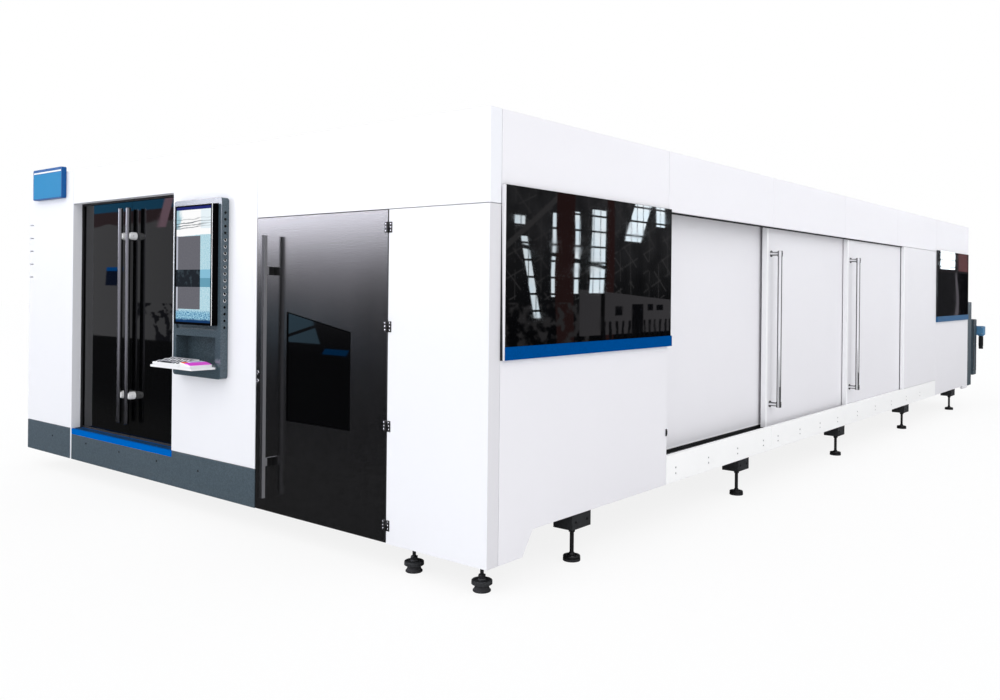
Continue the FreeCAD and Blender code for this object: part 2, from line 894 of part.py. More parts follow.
def console_housing():
    """Slate housing with a screen recess, a keyboard niche and vent holes in its side."""
    s0 = console_s
    s1 = console_s + console_width
    z0 = console_bottom_z
    z1 = console_bottom_z + console_height
    front = round_edges(front_block(s0, s1, -console_proud, 0, z0, z1), console_radius,
                        V(0, 1, 0))
    fit = console_inset + console_clearance
    back = front_block(s0 + fit, s1 - fit, 0, console_sunk, z0 + fit, z1 - fit)
    recess = front_block(s0 + screen_border, s1 - screen_border, -console_proud - seam,
                         -console_proud + screen_recess, screen_recess_bottom_z,
                         z1 - screen_border)
    niche = front_block(niche_s, niche_s + niche_width, -console_proud - seam,
                        -console_proud + niche_depth, niche_bottom_z,
                        niche_bottom_z + niche_height)
    vents = []
    for number in range(vent_count):
        ring = []
        for corner in range(vent_corners):
            turn = math.radians(360.0 * (corner + 0.5) / vent_corners)
            ring.append(V(corner_x - s0 - vent_depth,
                          -console_proud / 2.0 + vent_radius * math.cos(turn),
                          vent_bottom_z + vent_pitch * number + vent_radius * math.sin(turn)))
        vents.append(prism(ring, V(vent_depth + seam, 0, 0)))
    lugs = []
    pivot = tray_pivot()
    for x in (corner_x - tray_start + run_clearance,
              corner_x - tray_start - tray_width - run_clearance - tray_lug_width):
        arm = block(x, x + tray_lug_width, pivot.y - tray_barrel_radius, -console_proud,
                    pivot.z - tray_barrel_radius, pivot.z + tray_barrel_radius)
        lugs.append(arm)
    pin = rod(tray_pin_radius,
              V(corner_x - tray_start - tray_width - run_clearance - tray_lug_width, pivot.y,
                pivot.z),
              V(corner_x - tray_start + run_clearance + tray_lug_width, pivot.y, pivot.z))
    body = fuse(front, back).cut(recess).cut(niche).cut(Part.makeCompound(vents))
    return fuse(body, pin, *lugs)


def monitor():
    """Portrait screen that stands proud of the recess."""
    y1 = -console_proud + screen_recess
    body = front_block(monitor_s, monitor_s + monitor_width, y1 - monitor_thickness, y1,
                       monitor_bottom_z, monitor_bottom_z + monitor_height)
    return round_edges(body, monitor_round, V(0, 1, 0))


def tray_pivot():
    """Pivot line of the folding tray: Y and Z."""
    return V(0, -console_proud - tray_pivot_gap, niche_bottom_z - tray_barrel_radius)


def keyboard_tray():
    """Tray that folds up over the niche, with a rim on three sides and a bored hinge barrel."""
    pivot = tray_pivot()
    s0 = tray_start
    s1 = s0 + tray_width
    z0 = pivot.z - tray_thickness / 2.0
    z1 = pivot.z + tray_thickness / 2.0
    y0 = pivot.y - tray_depth
    plate = front_block(s0, s1, y0, pivot.y, z0, z1)
    rim = [front_block(s0, s0 + tray_lip, y0, pivot.y - 3 * tray_lip, z1, z1 + tray_lip),
           front_block(s1 - tray_lip, s1, y0, pivot.y - 3 * tray_lip, z1, z1 + tray_lip),
           front_block(s0, s1, y0, y0 + tray_lip, z1, z1 + tray_lip)]
    barrel = rod(tray_barrel_radius, V(corner_x - s1, pivot.y, pivot.z),
                 V(corner_x - s0, pivot.y, pivot.z))
    bore = rod(tray_pin_radius + run_clearance, V(corner_x - s1 - seam, pivot.y, pivot.z),
               V(corner_x - s0 + seam, pivot.y, pivot.z))
    return fuse(plate, barrel, *rim).cut(bore)


def keyboard():
    """Keyboard with rows of keys, and the flat pad beside it, on the tray."""
    pivot = tray_pivot()
    z = pivot.z + tray_thickness / 2.0
    s1 = niche_s + keyboard_margin + pad_width + pad_gap + keyboard_width
    s0 = s1 - keyboard_width
    y1 = pivot.y - keyboard_edge
    body = front_block(s0, s1, y1 - keyboard_depth, y1, z, z + keyboard_height)
    rows = []
    pitch = (keyboard_depth - 2 * key_field_margin + key_gap) / key_row_count
    for number in range(key_row_count):
        y = y1 - keyboard_depth + key_field_margin + pitch * number
        rows.append(front_block(s0 + key_margin, s1 - key_margin, y, y + pitch - key_gap,
                                z + keyboard_height, z + keyboard_height + key_row_height))
    pad = front_block(s0 - pad_gap - pad_width, s0 - pad_gap, y1 - keyboard_depth, y1, z,
                      z + pad_height)
    return Part.makeCompound([fuse(body, *rows), pad])


def sign_box():
    """Rounded sign box hooked over the roof edge."""
    z1 = enclosure_height + sign_rise
    body = round_edges(front_block(sign_s, sign_s + sign_width, -sign_depth, 0,
                                   z1 - sign_height, z1), sign_radius, V(0, 1, 0))
    hook = front_block(sign_s + sign_radius, sign_s + sign_radius + hook_width, 0, hook_reach,
                       enclosure_height, enclosure_height + hook_thickness)
    return fuse(body, hook)


# ---------------------------------------------------------------- control cabinet

def control_cabinet():
    """Sheet cabinet behind the black door with its mounting plate, drives and cable ducts."""
    s0 = cabinet_side_gap
    s1 = s_middle + panel_thickness - cabinet_clearance
    y0 = cabinet_leaf_thickness + front_base_gap
    y1 = y0 + cabinet_depth
    z0 = floor_top_z
    z1 = front_seam_z - seam
    shell = front_block(s0, s1, y0, y1, z0, z1)
    inside = front_block(s0 + cabinet_wall, s1 - cabinet_wall, y0 - seam, y1 - cabinet_wall,
                         z0 + cabinet_wall, z1 - cabinet_wall)
    parts = [shell.cut(inside)]
    plate_y = y1 - mount_gap
    parts.append(front_block(s_cabinet, s1 - 2 * mount_gap, plate_y, y1 - cabinet_wall,
                             z0 + 2 * mount_gap, z1 - 2 * mount_gap))
    row_z = (z0 + 3.2 * mount_gap, (z0 + z1) / 2.0 + mount_gap)
    for z in row_z:
        for number in range(drive_count):
            s = s_cabinet + mount_gap + (drive_width + drive_gap) * number
            parts.append(front_block(s, s + drive_width, plate_y - drive_depth, plate_y, z,
                                     z + drive_height))
    for z in (row_z[0] + drive_height + mount_gap, row_z[1] + drive_height + mount_gap):
        parts.append(front_block(s_cabinet + mount_gap, s1 - 3 * mount_gap,
                                 plate_y - duct_depth, plate_y, z, z + duct_height))
    return Part.makeCompound(parts)


def laser_source():
    """Laser source cabinet on the floor frame behind the bed."""
    body = block(source_x, source_x + source_width, source_y, source_y + source_length,
                 floor_top_z, floor_top_z + source_height)
    return round_edges(body, source_edge, V(0, 0, 1))


# ---------------------------------------------------------------- bed, gantry and head

def machine_bed():
    """Welded bed: two side beams, end beams and the ledges that carry the pallet."""
    y0 = bed_front
    y1 = bed_front + bed_length
    half = bed_half_span
    parts = []
    for side in (-1, 1):
        middle = bed_x + side * half
        parts.append(block(middle - beam_width / 2.0, middle + beam_width / 2.0, y0, y1,
                           floor_top_z, bed_top_z))
        inner = middle - side * beam_width / 2.0
        edge = inner - side * ledge_width
        parts.append(block(min(inner, edge), max(inner, edge), y0, y1, ledge_z - ledge_height,
                           ledge_z))
    for y in (y0, y1 - cross_beam):
        parts.append(block(bed_x - half, bed_x + half, y, y + cross_beam, floor_top_z,
                           ledge_z - ledge_height))
    return fuse(*parts)


def gantry_rails():
    """Ground guide rails on the side beams."""
    rails = []
    for side in (-1, 1):
        middle = bed_x + side * bed_half_span
        rails.append(block(middle - guide_width / 2.0, middle + guide_width / 2.0, bed_front,
                           bed_front + bed_length, bed_top_z, bed_top_z + guide_height))
    return Part.makeCompound(rails)


def gantry_y():
    """Middle of the gantry at rest."""
    return bed_front + bed_length / 2.0


def gantry_beam():
    """Cross beam on two shoes that straddle the guide rails, with the carriage's guides."""
    y = gantry_y()
    parts = []
    bottom = bed_top_z + guide_height + gantry_rise
    for side in (-1, 1):
        middle = bed_x + side * bed_half_span
        shoe = block(middle - shoe_width / 2.0, middle + shoe_width / 2.0, y - shoe_length / 2.0,
                     y + shoe_length / 2.0, bed_top_z + guide_height * 0.4, bottom)
        gap = guide_width / 2.0 + run_clearance
        slot = block(middle - gap, middle + gap, y - shoe_length, y + shoe_length, bed_top_z,
                     bed_top_z + guide_height)
        parts.append(shoe.cut(slot))
    parts.append(block(bed_x - bed_half_span - shoe_width / 2.0,
                       bed_x + bed_half_span + shoe_width / 2.0, y - gantry_depth / 2.0,
                       y + gantry_depth / 2.0, bottom, bottom + gantry_height))
    for z in (bottom + 0.2 * gantry_height, bottom + 0.8 * gantry_height):
        parts.append(block(bed_x - bed_half_span, bed_x + bed_half_span,
                           y - gantry_depth / 2.0 - carriage_guide, y - gantry_depth / 2.0,
                           z - carriage_guide / 2.0, z + carriage_guide / 2.0))
    return fuse(*parts)


def carriage():
    """Plate that runs across the beam and carries the head's slide and its servo motor."""
    y1 = gantry_y() - gantry_depth / 2.0 - carriage_guide
    z0 = bed_top_z + guide_height + gantry_rise - 0.3 * gantry_height
    plate = block(bed_x - carriage_width / 2.0, bed_x + carriage_width / 2.0,
                  y1 - carriage_depth, y1, z0, z0 + carriage_height)
    motor = block(bed_x - carriage_width * 0.2, bed_x + carriage_width * 0.2,
                  y1 - servo_reach, y1, z0 + carriage_height,
                  z0 + carriage_height + servo_height)
    return fuse(plate, motor)


def cutting_head():
    """Head on its slide plate: square body and stepped nozzle."""
    y1 = gantry_y() - gantry_depth / 2.0 - carriage_guide - carriage_depth
    tip_z = bed_top_z + nozzle_clear
    body_z = tip_z + nozzle_length
    y0 = y1 - head_plate - 2 * head_half
    body = block(bed_x - head_half, bed_x + head_half, y0, y1 - head_plate, body_z,
                 body_z + head_length * 0.6)
    holder = Part.makeCylinder(head_half * 0.7, nozzle_length * 0.55,
                               V(bed_x, y0 + head_half, body_z - nozzle_length * 0.55))
    nozzle = Part.makeCylinder(nozzle_radius, nozzle_length, V(bed_x, y0 + head_half, tip_z))
    plate = block(bed_x - head_half * 0.8, bed_x + head_half * 0.8, y1 - head_plate, y1,
                  body_z + head_length * 0.05, body_z + head_length * 0.55)
    return fuse(body, holder, nozzle, plate)


# ---------------------------------------------------------------- pallets and exchange station

def slat(x0, x1, y, top_z):
    """One support slat with its saw-tooth top edge."""
    pitch = (x1 - x0) / tooth_count
    points = [V(x0, y, top_z - slat_height), V(x0, y, top_z - tooth_height)]
    for number in range(tooth_count):
        points.append(V(x0 + pitch * (number + 0.5), y, top_z))
        points.append(V(x0 + pitch * (number + 1), y, top_z - tooth_height))
    points.append(V(x1, y, top_z - slat_height))
    return prism(points, V(0, slat_thickness, 0))


def pallet(y0, bottom_z):
    """Rectangular frame with toothed slats across it, welded as one."""
    x0 = bed_x - pallet_width / 2.0
    x1 = bed_x + pallet_width / 2.0
    y1 = y0 + pallet_length
    z1 = bottom_z + pallet_height
    outer = block(x0, x1, y0, y1, bottom_z, z1 - tooth_height)
    inner = block(x0 + pallet_rail, x1 - pallet_rail, y0 + pallet_rail, y1 - pallet_rail,
                  bottom_z - seam, z1)
    frame = outer.cut(inner)
    pitch = (pallet_length - 2 * pallet_rail) / (slat_count + 1)
    slats = []
    for number in range(slat_count):
        y = y0 + pallet_rail + pitch * (number + 1) - slat_thickness / 2.0
        slats.append(slat(x0 + pallet_rail, x1 - pallet_rail, y, z1))
    return fuse(frame, *slats)


def work_pallet():
    """Pallet under the cutting head."""
    return pallet(pallet_start, ledge_z)


def waiting_pallet():
    """Pallet on the lower level of the exchange station."""
    return pallet(lift_start + (lift_length - pallet_length) / 2.0, ledge_z - level_drop)


def lift_half():
    """Half width of the lift between its outer faces."""
    return pallet_width / 2.0 + lift_side + pallet_side_gap


def exchange_lift():
    """Two-level lift: side frames with an upper and a lower ledge, joined underneath."""
    y0 = lift_start
    y1 = lift_start + lift_length
    low = ledge_z - level_drop
    bottom = low - ledge_height - lift_cross
    half = lift_half()
    parts = []
    for side in (-1, 1):
        outer = bed_x + side * half
        inner = outer - side * lift_side
        parts.append(block(min(outer, inner), max(outer, inner), y0, y1, bottom, ledge_z))
        edge = inner - side * ledge_width * 0.6
        for z in (low, ledge_z):
            parts.append(block(min(inner, edge), max(inner, edge), y0, y1, z - ledge_height, z))
    for y in (y0, (y0 + y1 - lift_cross) / 2.0, y1 - lift_cross):
        parts.append(block(bed_x - half, bed_x + half, y, y + lift_cross, bottom,
                           low - ledge_height))
    for side in (-1, 1):
        outer = bed_x + side * half
        for y in (y0 + guide_inset, y1 - guide_inset):
            x1 = outer + side * shoe_block
            parts.append(block(min(outer, x1), max(outer, x1), y - guide_post / 2.0,
                               y + guide_post / 2.0, bottom, ledge_z))
    return fuse(*parts)


def exchange_posts():
    """Four upright guides of the lift, standing on the floor frame."""
    posts = []
    half = lift_half() + shoe_block + run_clearance
    for side in (-1, 1):
        x0 = bed_x + side * half
        x1 = x0 + side * guide_post
        for y in (lift_start + guide_inset, lift_start + lift_length - guide_inset):
            posts.append(block(min(x0, x1), max(x0, x1), y - guide_post / 2.0,
                               y + guide_post / 2.0, floor_top_z, guide_top_z))
    return Part.makeCompound(posts)


def drive_x():
    """Outer side of everything in the lift drive."""
    return corner_x - drive_inset


def stand_y():
    """Near side of the drive's second column."""
    return enclosure_length + column_length + stand_gap


def drive_frame():
    """Frame of the lift drive outside the end wall: two columns and the ties between them."""
    x0 = drive_x() - column_depth
    y0 = enclosure_length
    column = block(x0, drive_x(), y0, y0 + column_length, column_bottom_z, column_top_z)
    stand = block(x0, drive_x(), stand_y(), stand_y() + stand_length, stand_bottom_z,
                  stand_top_z)
    ties = []
    for z in (stand_bottom_z + stand_tie, stand_top_z - 2 * stand_tie):
        ties.append(block(x0 + stand_tie / 2.0, drive_x() - stand_tie / 2.0,
                          y0 + column_length, stand_y(), z, z + stand_tie))
    return fuse(column, stand, *ties)


def lift_motor():
    """Blue gearbox on the second column, with its motor hanging below."""
    y0 = stand_y() + stand_length
    x1 = corner_x + gearbox_proud
    box = round_edges(block(x1 - gearbox_width, x1, y0, y0 + gearbox_length, gearbox_z,
                            gearbox_z + gearbox_height), gearbox_round, V(0, 1, 0))
    x = x1 - motor_offset
    y = y0 + gearbox_length / 2.0
    motor = rod(motor_radius, V(x, y, gearbox_z - motor_length), V(x, y, gearbox_z + motor_sunk))
    return fuse(box, motor)


# ---------------------------------------------------------------- the whole machine

def build_nodes():
    """Every node by name, in the modelling frame."""
    nodes = {
        "base_frame": base_frame(),
        "levelling_feet": levelling_feet(),
        "front_feet": front_feet(),
        "enclosure_frame": enclosure_frame(),
        "roof": roof(),
        "end_wall": end_wall(),
        "fascia_front": fascia_front(),
        "front_corner_panel": front_corner_panel(),
        "front_middle_panel": front_middle_panel(),
        "front_left_panel": front_left_panel(),
        "front_plinth": front_plinth(),
        "door_sill": door_sill(),
        "glass_leaf_left": glass_leaf_left(),
        "glass_leaf_right": glass_leaf_right(),
        "glass_handle_left": glass_handle(1),
        "glass_handle_right": glass_handle(-1),
        "cabinet_door": cabinet_door(),
        "cabinet_door_window": cabinet_door_window(),
        "cabinet_door_handle": cabinet_door_handle(),
        "cabinet_door_hinge_plates": cabinet_door_hinge_plates(),
        "cabinet_door_hinge_leaves": cabinet_door_hinge_leaves(),
        "near_side_panel": near_side_panel(),
        "near_window": near_window(),
        "far_side_panel": far_side_panel(),
        "far_window": far_window(),
        "window_strips": window_strips(),
        "base_rail_1": base_rail(window_module_end, rail_seam_1),
        "base_rail_2": base_rail(rail_seam_1, rail_seam_2),
        "base_rail_3": base_rail(rail_seam_2, rear_panel_end),
        "rear_side_panel": rear_side_panel(),
        "fixed_side_panel": fixed_side_panel(),
        "side_door_middle": side_door_middle(),
        "side_door_rear": side_door_rear(),
        "side_door_tracks": side_door_tracks(),
        "side_handle_middle": side_handle(middle_leaf_depth, middle_door_start),
        "side_handle_rear": side_handle(rear_leaf_depth, rear_door_start),
        "console_housing": console_housing(),
        "monitor": monitor(),
        "keyboard_tray": keyboard_tray(),
        "keyboard": keyboard(),
        "sign_box": sign_box(),
        "control_cabinet": control_cabinet(),
        "laser_source": laser_source(),
        "machine_bed": machine_bed(),
        "gantry_rails": gantry_rails(),
        "gantry_beam": gantry_beam(),
        "carriage": carriage(),
        "cutting_head": cutting_head(),
        "work_pallet": work_pallet(),
        "waiting_pallet": waiting_pallet(),
        "exchange_lift": exchange_lift(),
        "exchange_posts": exchange_posts(),
        "drive_frame": drive_frame(),
        "lift_motor": lift_motor(),
    }
    for number in range(2):
        nodes["back_panel_%d" % (number + 1)] = back_panel(number)
    for number, (first, last) in enumerate(((0, 1), (1, 3), (3, 5), (5, 6))):
        nodes["fascia_side_%d" % (number + 1)] = fascia_side(first, last)
    return nodes


def centre_shift(nodes):
    """Move that puts the bottom centre of the whole bounding box on the origin."""
    whole = FreeCAD.BoundBox()
    for shape in nodes.values():
        whole.add(shape.optimalBoundingBox(False, False))
    return V(-(whole.XMin + whole.XMax) / 2.0, -(whole.YMin + whole.YMax) / 2.0, -whole.ZMin)


os.makedirs("parts", exist_ok=True)
machine = build_nodes()
shift = centre_shift(machine)
for node_name, node_shape in machine.items():
    node_shape.translate(shift)
    node_shape.exportStep("parts/%s.step" % node_name)
print("nodes", len(machine), "shift", shift)
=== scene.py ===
import json
import math
from functools import reduce
from operator import add, mul

import bmesh
import bpy
from bpy.props import FloatProperty, FloatVectorProperty, IntProperty, PointerProperty
from mathutils import Matrix, Vector

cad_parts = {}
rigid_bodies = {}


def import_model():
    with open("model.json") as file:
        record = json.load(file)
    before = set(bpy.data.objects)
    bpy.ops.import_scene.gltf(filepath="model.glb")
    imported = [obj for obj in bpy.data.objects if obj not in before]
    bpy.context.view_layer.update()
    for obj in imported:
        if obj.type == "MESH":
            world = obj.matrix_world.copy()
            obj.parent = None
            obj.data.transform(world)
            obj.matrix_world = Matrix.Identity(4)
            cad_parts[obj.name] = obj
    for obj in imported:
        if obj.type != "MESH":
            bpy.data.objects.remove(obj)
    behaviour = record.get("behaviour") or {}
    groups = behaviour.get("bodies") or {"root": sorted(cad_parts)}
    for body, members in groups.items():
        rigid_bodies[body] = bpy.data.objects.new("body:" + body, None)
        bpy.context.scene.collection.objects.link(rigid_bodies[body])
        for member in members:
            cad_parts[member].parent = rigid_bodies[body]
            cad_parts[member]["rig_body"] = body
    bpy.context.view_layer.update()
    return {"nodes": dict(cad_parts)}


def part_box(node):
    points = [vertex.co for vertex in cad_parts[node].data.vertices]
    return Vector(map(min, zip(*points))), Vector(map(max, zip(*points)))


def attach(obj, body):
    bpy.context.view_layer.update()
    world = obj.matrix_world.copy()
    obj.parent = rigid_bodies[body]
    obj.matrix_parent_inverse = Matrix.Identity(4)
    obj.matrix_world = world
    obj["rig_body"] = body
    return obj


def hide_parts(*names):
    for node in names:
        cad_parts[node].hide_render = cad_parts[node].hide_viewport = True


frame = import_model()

bl_info = {
    "name": "Enclosed Fiber Laser Cutter",
    "version": (1, 0, 0),
    "blender": (4, 5, 0),
    "location": "View3D > Sidebar > Laser Cutter",
    "description": "Dresses an enclosed sheet cutting machine with its finishes and fittings",
    "category": "Object",
}

# Corner between the front and the long side with the sliding doors.
CORNER = Vector((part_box("front_corner_panel")[1].x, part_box("front_corner_panel")[0].y, 0.0))
UP, DOWN, OUT_FRONT, OUT_SIDE = (0, 0, 1), (0, 0, -1), (0, -1, 0), (1, 0, 0)
WHITE = (1.0, 1.0, 1.0)


def front(s, depth, z):
    """Point by distance from the corner along the front, depth and height, in millimetres."""
    return Vector((CORNER.x - s / 1000, CORNER.y + depth / 1000, z / 1000))


def flank(t, depth, z):
    """Point by distance from the front along the side, depth and height, in millimetres."""
    return Vector((CORNER.x - depth / 1000, CORNER.y + t / 1000, z / 1000))


# -------- settings

def colour_setting(name, description, default):
    """Setting for a colour."""
    return FloatVectorProperty(name=name, description=description, default=default, size=3,
                               min=0, max=1, subtype="COLOR")


def length_setting(name, description, default, low, high):
    """Setting for a length in metres."""
    return FloatProperty(name=name, description=description, default=default, min=low,
                         max=high, unit="LENGTH")


def strength_setting(name, description, default, high):
    """Setting for a light's strength."""
    return FloatProperty(name=name, description=description, default=default, min=0, max=high)


def angle_setting(name, description, degrees):
    """Setting for an angle."""
    return FloatProperty(name=name, description=description, default=math.radians(degrees),
                         subtype="ANGLE", unit="ROTATION")


class FinishSettings(bpy.types.PropertyGroup):
    """Colours of the machine's finishes."""
    panel: colour_setting("Front panels", "Powder coat of the front", (0.885, 0.893, 0.935))
    flank: colour_setting("Side panels", "Powder coat of the long side", (0.84, 0.83, 0.865))
    slate: colour_setting("Slate", "Kick plates, console and lift drive", (0.040, 0.060, 0.075))
    blue: colour_setting("Blue trim", "Window bars", (0.0, 0.058, 0.235))
    black: colour_setting("Black paint", "Cabinet door, hinges, feet", (0.0050, 0.0050, 0.0055))
    glass: colour_setting("Black glass", "Windows and glass doors", (0.0010, 0.0011, 0.0014))
    chrome: colour_setting("Chrome", "Side door handles", (0.80, 0.80, 0.82))


class DetailSettings(bpy.types.PropertyGroup):
    """Sizes of the small fittings."""
    edge: length_setting("Folded edge", "Round on the edges of sheet panels",
                         0.0018, 0.0002, 0.01)
    screw: length_setting("Screw head", "Radius of a panel screw's head", 0.0058, 0.002, 0.02)
    gasket: length_setting("Gasket", "Width of the black rubber gaskets", 0.009, 0.003, 0.03)
    keys: IntProperty(name="Keys in a row", description="Keys along the keyboard",
                      default=16, min=8, max=22)
    fins: IntProperty(name="Motor fins", description="Cooling fins of the lift motor",
                      default=14, min=4, max=40)


class StudioSettings(bpy.types.PropertyGroup):
    """Camera and light."""
    lens: FloatProperty(name="Lens", description="Focal length on a 36 mm wide frame",
                        default=32.38, min=10, max=200)
    heading: angle_setting("Heading", "Turn of the camera about the vertical", 39.227)
    roll: angle_setting("Roll", "Tilt of the camera about its own axis", 0.576)
    ambient: strength_setting("Ambient", "Strength of the light from all round", 0.83, 5)
    key: strength_setting("Key light", "Strength of the soft light on the front", 0.50, 10)
    fill: strength_setting("Fill light", "Strength of the light on the long side", 0.70, 10)
    floor: colour_setting("Floor", "Colour of the floor", (0.94, 0.94, 0.94))


# -------- shader expressions

def operation(name, swapped=False):
    """Method that adds a Math node to a wire."""
    def apply(self, *others):
        values = (*others, self) if swapped else (self, *others)
        return self.paint.node("ShaderNodeMath", {"operation": name}, dict(enumerate(values)))
    return apply


class Wire:
    """An output socket. Python's operators on it add Math nodes."""

    def __init__(self, paint, socket):
        self.paint = paint
        self.socket = socket

    __add__ = __radd__ = operation("ADD")
    __sub__ = operation("SUBTRACT")
    __rsub__ = operation("SUBTRACT", swapped=True)
    __mul__ = __rmul__ = operation("MULTIPLY")
    __truediv__ = operation("DIVIDE")
    __mod__ = operation("FLOORED_MODULO")
    __gt__ = operation("GREATER_THAN")
    __lt__ = operation("LESS_THAN")
    __abs__ = operation("ABSOLUTE")
    exp = operation("EXPONENT")
    least = operation("MINIMUM")
    most = operation("MAXIMUM")


FINISHES = {}


class Paint:
    """One procedural material built round a Principled shader."""

    def __init__(self, name, **constants):
        self.material = FINISHES[name] = bpy.data.materials.new(name)
        self.material.use_nodes = True
        self.tree = self.material.node_tree
        self.shader = self.tree.nodes["Principled BSDF"]
        self.object_place = None
        self.feed(**constants)

    def link(self, socket, value):
        if isinstance(value, Wire):
            self.tree.links.new(value.socket, socket)
        else:
            socket.default_value = value

    def node(self, kind, settings=None, inputs=None, output=0):
        """Adds a node: its settings first, then the values or links of its sockets."""
        made = self.tree.nodes.new(kind)
        for key, value in (settings or {}).items():
            setattr(made, key, value)
        for key, value in (inputs or {}).items():
            self.link(made.inputs[key], value)
        return Wire(self, made.outputs[output])

    def place(self, scale=(1, 1, 1)):
        """Object coordinates, stretched by a Mapping node."""
        if self.object_place is None:
            self.object_place = self.node("ShaderNodeTexCoord", output="Object")
        if scale == (1, 1, 1):
            return self.object_place
        return self.node("ShaderNodeMapping", {}, {"Vector": self.object_place, "Scale": scale})

    def axes(self):
        """X, Y and Z of the surface point as three wires."""
        split = self.node("ShaderNodeSeparateXYZ", {}, {0: self.place()})
        return [Wire(self, output) for output in split.socket.node.outputs]

    def noise(self, scale, detail=2.0, stretch=(1, 1, 1)):
        return self.node("ShaderNodeTexNoise", {}, {
            "Vector": self.place(stretch), "Scale": scale, "Detail": detail, "Roughness": 0.5})

    def ramp(self, factor, low, high):
        """0 below low, 1 above high and smooth between."""
        return self.node("ShaderNodeMapRange", {"interpolation_type": "SMOOTHSTEP"},
                         {0: factor, 1: low, 2: high, 3: 0.0, 4: 1.0})

    def mix(self, factor, first, second):
        """Blend of two colours."""
        return self.node("ShaderNodeMix", {"data_type": "RGBA"},
                         {0: factor, 6: opaque(first), 7: opaque(second)}, 2)

    def layers(self, tone, *coats):
        """A colour under others: each coat is a mask and a colour."""
        for mask, over in coats:
            tone = self.mix(mask, tone, over)
        return tone

    def patch(self, *ranges):
        """1 where each wire lies between its two numbers."""
        return reduce(mul, [(wire > low) * (wire < high) for wire, low, high in ranges])

    def patches(self, *groups):
        """Sum of several patches."""
        return reduce(add, [self.patch(*ranges) for ranges in groups])

    def bump(self, height, distance):
        self.feed(Normal=self.node("ShaderNodeBump", {}, {
            "Strength": 1.0, "Distance": distance, "Height": height}))

    def feed(self, **sockets):
        """Sets or links the shader's sockets; Base_Color stands for Base Color."""
        for socket, value in sockets.items():
            self.link(self.shader.inputs[socket.replace("_", " ")], value)

    def surface(self, wire):
        """Links another shader to the material's output."""
        self.link(self.tree.nodes["Material Output"].inputs["Surface"], wire)


def opaque(tone):
    """A colour with its alpha, or a wire as it is."""
    return tone if isinstance(tone, Wire) else tuple(tone)[:3] + (1.0,)


def shade(tone, factor):
    """A colour made darker or lighter."""
    return tuple(min(1.0, channel * factor) for channel in tone[:3])


# -------- finishes

def powder_coat(name, tone, rough=0.36, specular=0.4, speckle=0.0, soil=0.05,
                soil_height=0.6, peel=0.00004, grit=0.0, fleck=2.6):
    """Powder coat: fine orange peel, slight drift of tone and a little dust low down."""
    paint = Paint(name, Specular_IOR_Level=specular)
    height = paint.axes()[2]
    drift = paint.noise(1.7, 3.0)
    streak = paint.noise(2.5, 2.0, (9, 9, 0.8))
    fine = paint.noise(520.0)
    dust = (1.0 - paint.ramp(height, 0.12, soil_height)) * (streak * 0.9 + 0.1) * soil
    coat = paint.layers(tone, (drift * 0.7, shade(tone, 0.965)), (dust, shade(tone, 0.55)))
    if speckle:
        grain = (paint.ramp(fine, 0.36, 0.66) * 0.4
                 + paint.ramp(paint.noise(150.0, 3.0), 0.40, 0.62))
        coat = paint.mix(grain * speckle, coat, shade(tone, fleck if max(tone) < 0.3 else 0.8))
    paint.bump(fine + paint.noise(120.0) * (grit / peel) if grit else fine, peel)
    paint.feed(Base_Color=coat, Roughness=drift * 0.10 + streak * 0.05 + (rough - 0.07))


def dark_glass(name, tone, wave, specular=0.5):
    """Black tinted glass with a faint waviness and wipe marks."""
    paint = Paint(name, Specular_IOR_Level=specular)
    wipe = paint.noise(3.0, 4.0, (1, 1, 3))
    paint.bump(paint.noise(0.85, 1.0), wave)
    paint.feed(Base_Color=paint.mix(paint.ramp(wipe, 0.5, 0.8) * 0.5, tone, shade(tone, 1.7)),
               Roughness=paint.ramp(wipe, 0.45, 0.8) * 0.03 + 0.015)


def plated(name, tone, rough, lines=(1, 1, 0.02), wear=0.12, metal=1.0):
    """Plated or polished metal with faint draw marks along one axis."""
    paint = Paint(name, Metallic=metal)
    drawn = paint.noise(900.0, 2.0, lines)
    cloud = paint.noise(14.0, 3.0)
    paint.bump(drawn, 0.00002)
    paint.feed(Base_Color=paint.mix(cloud * wear, tone, shade(tone, 0.72)),
               Roughness=drawn * 0.08 + cloud * 0.05 + rough)


def mill_steel(name, tone):
    """Mill steel of the slats: scale, spatter and brown burn marks at the teeth."""
    paint = Paint(name)
    cloud = paint.noise(9.0, 5.0)
    spots = paint.ramp(paint.noise(120.0, 3.0), 0.56, 0.66)
    burn = paint.ramp(paint.noise(2.2, 4.0), 0.42, 0.66)
    paint.bump(cloud + spots * 0.4, 0.0003)
    paint.feed(
        Base_Color=paint.layers(tone, (cloud * 0.8, shade(tone, 0.5)),
                                (burn * 0.55, (0.10, 0.055, 0.03)),
                                (spots * 0.6, (0.03, 0.028, 0.026))),
        Metallic=0.85 - burn * 0.5, Roughness=cloud * 0.25 + burn * 0.2 + 0.30)


def rubber(name, tone):
    """Moulded black rubber."""
    paint = Paint(name, Specular_IOR_Level=0.25)
    bloom = paint.noise(12.0, 3.0)
    paint.bump(paint.noise(260.0, 3.0), 0.00012)
    paint.feed(Base_Color=paint.mix(bloom * 0.7, tone, shade(tone, 2.2)),
               Roughness=bloom * 0.15 + 0.6)


def plastic(name, tone, rough, specular=0.4):
    """Moulded plastic with a fine texture."""
    paint = Paint(name, Specular_IOR_Level=specular)
    cloud = paint.noise(7.0, 3.0)
    paint.bump(paint.noise(1400.0), 0.00003)
    paint.feed(Base_Color=paint.mix(cloud * 0.5, tone, shade(tone, 0.88)),
               Roughness=cloud * 0.1 + rough)


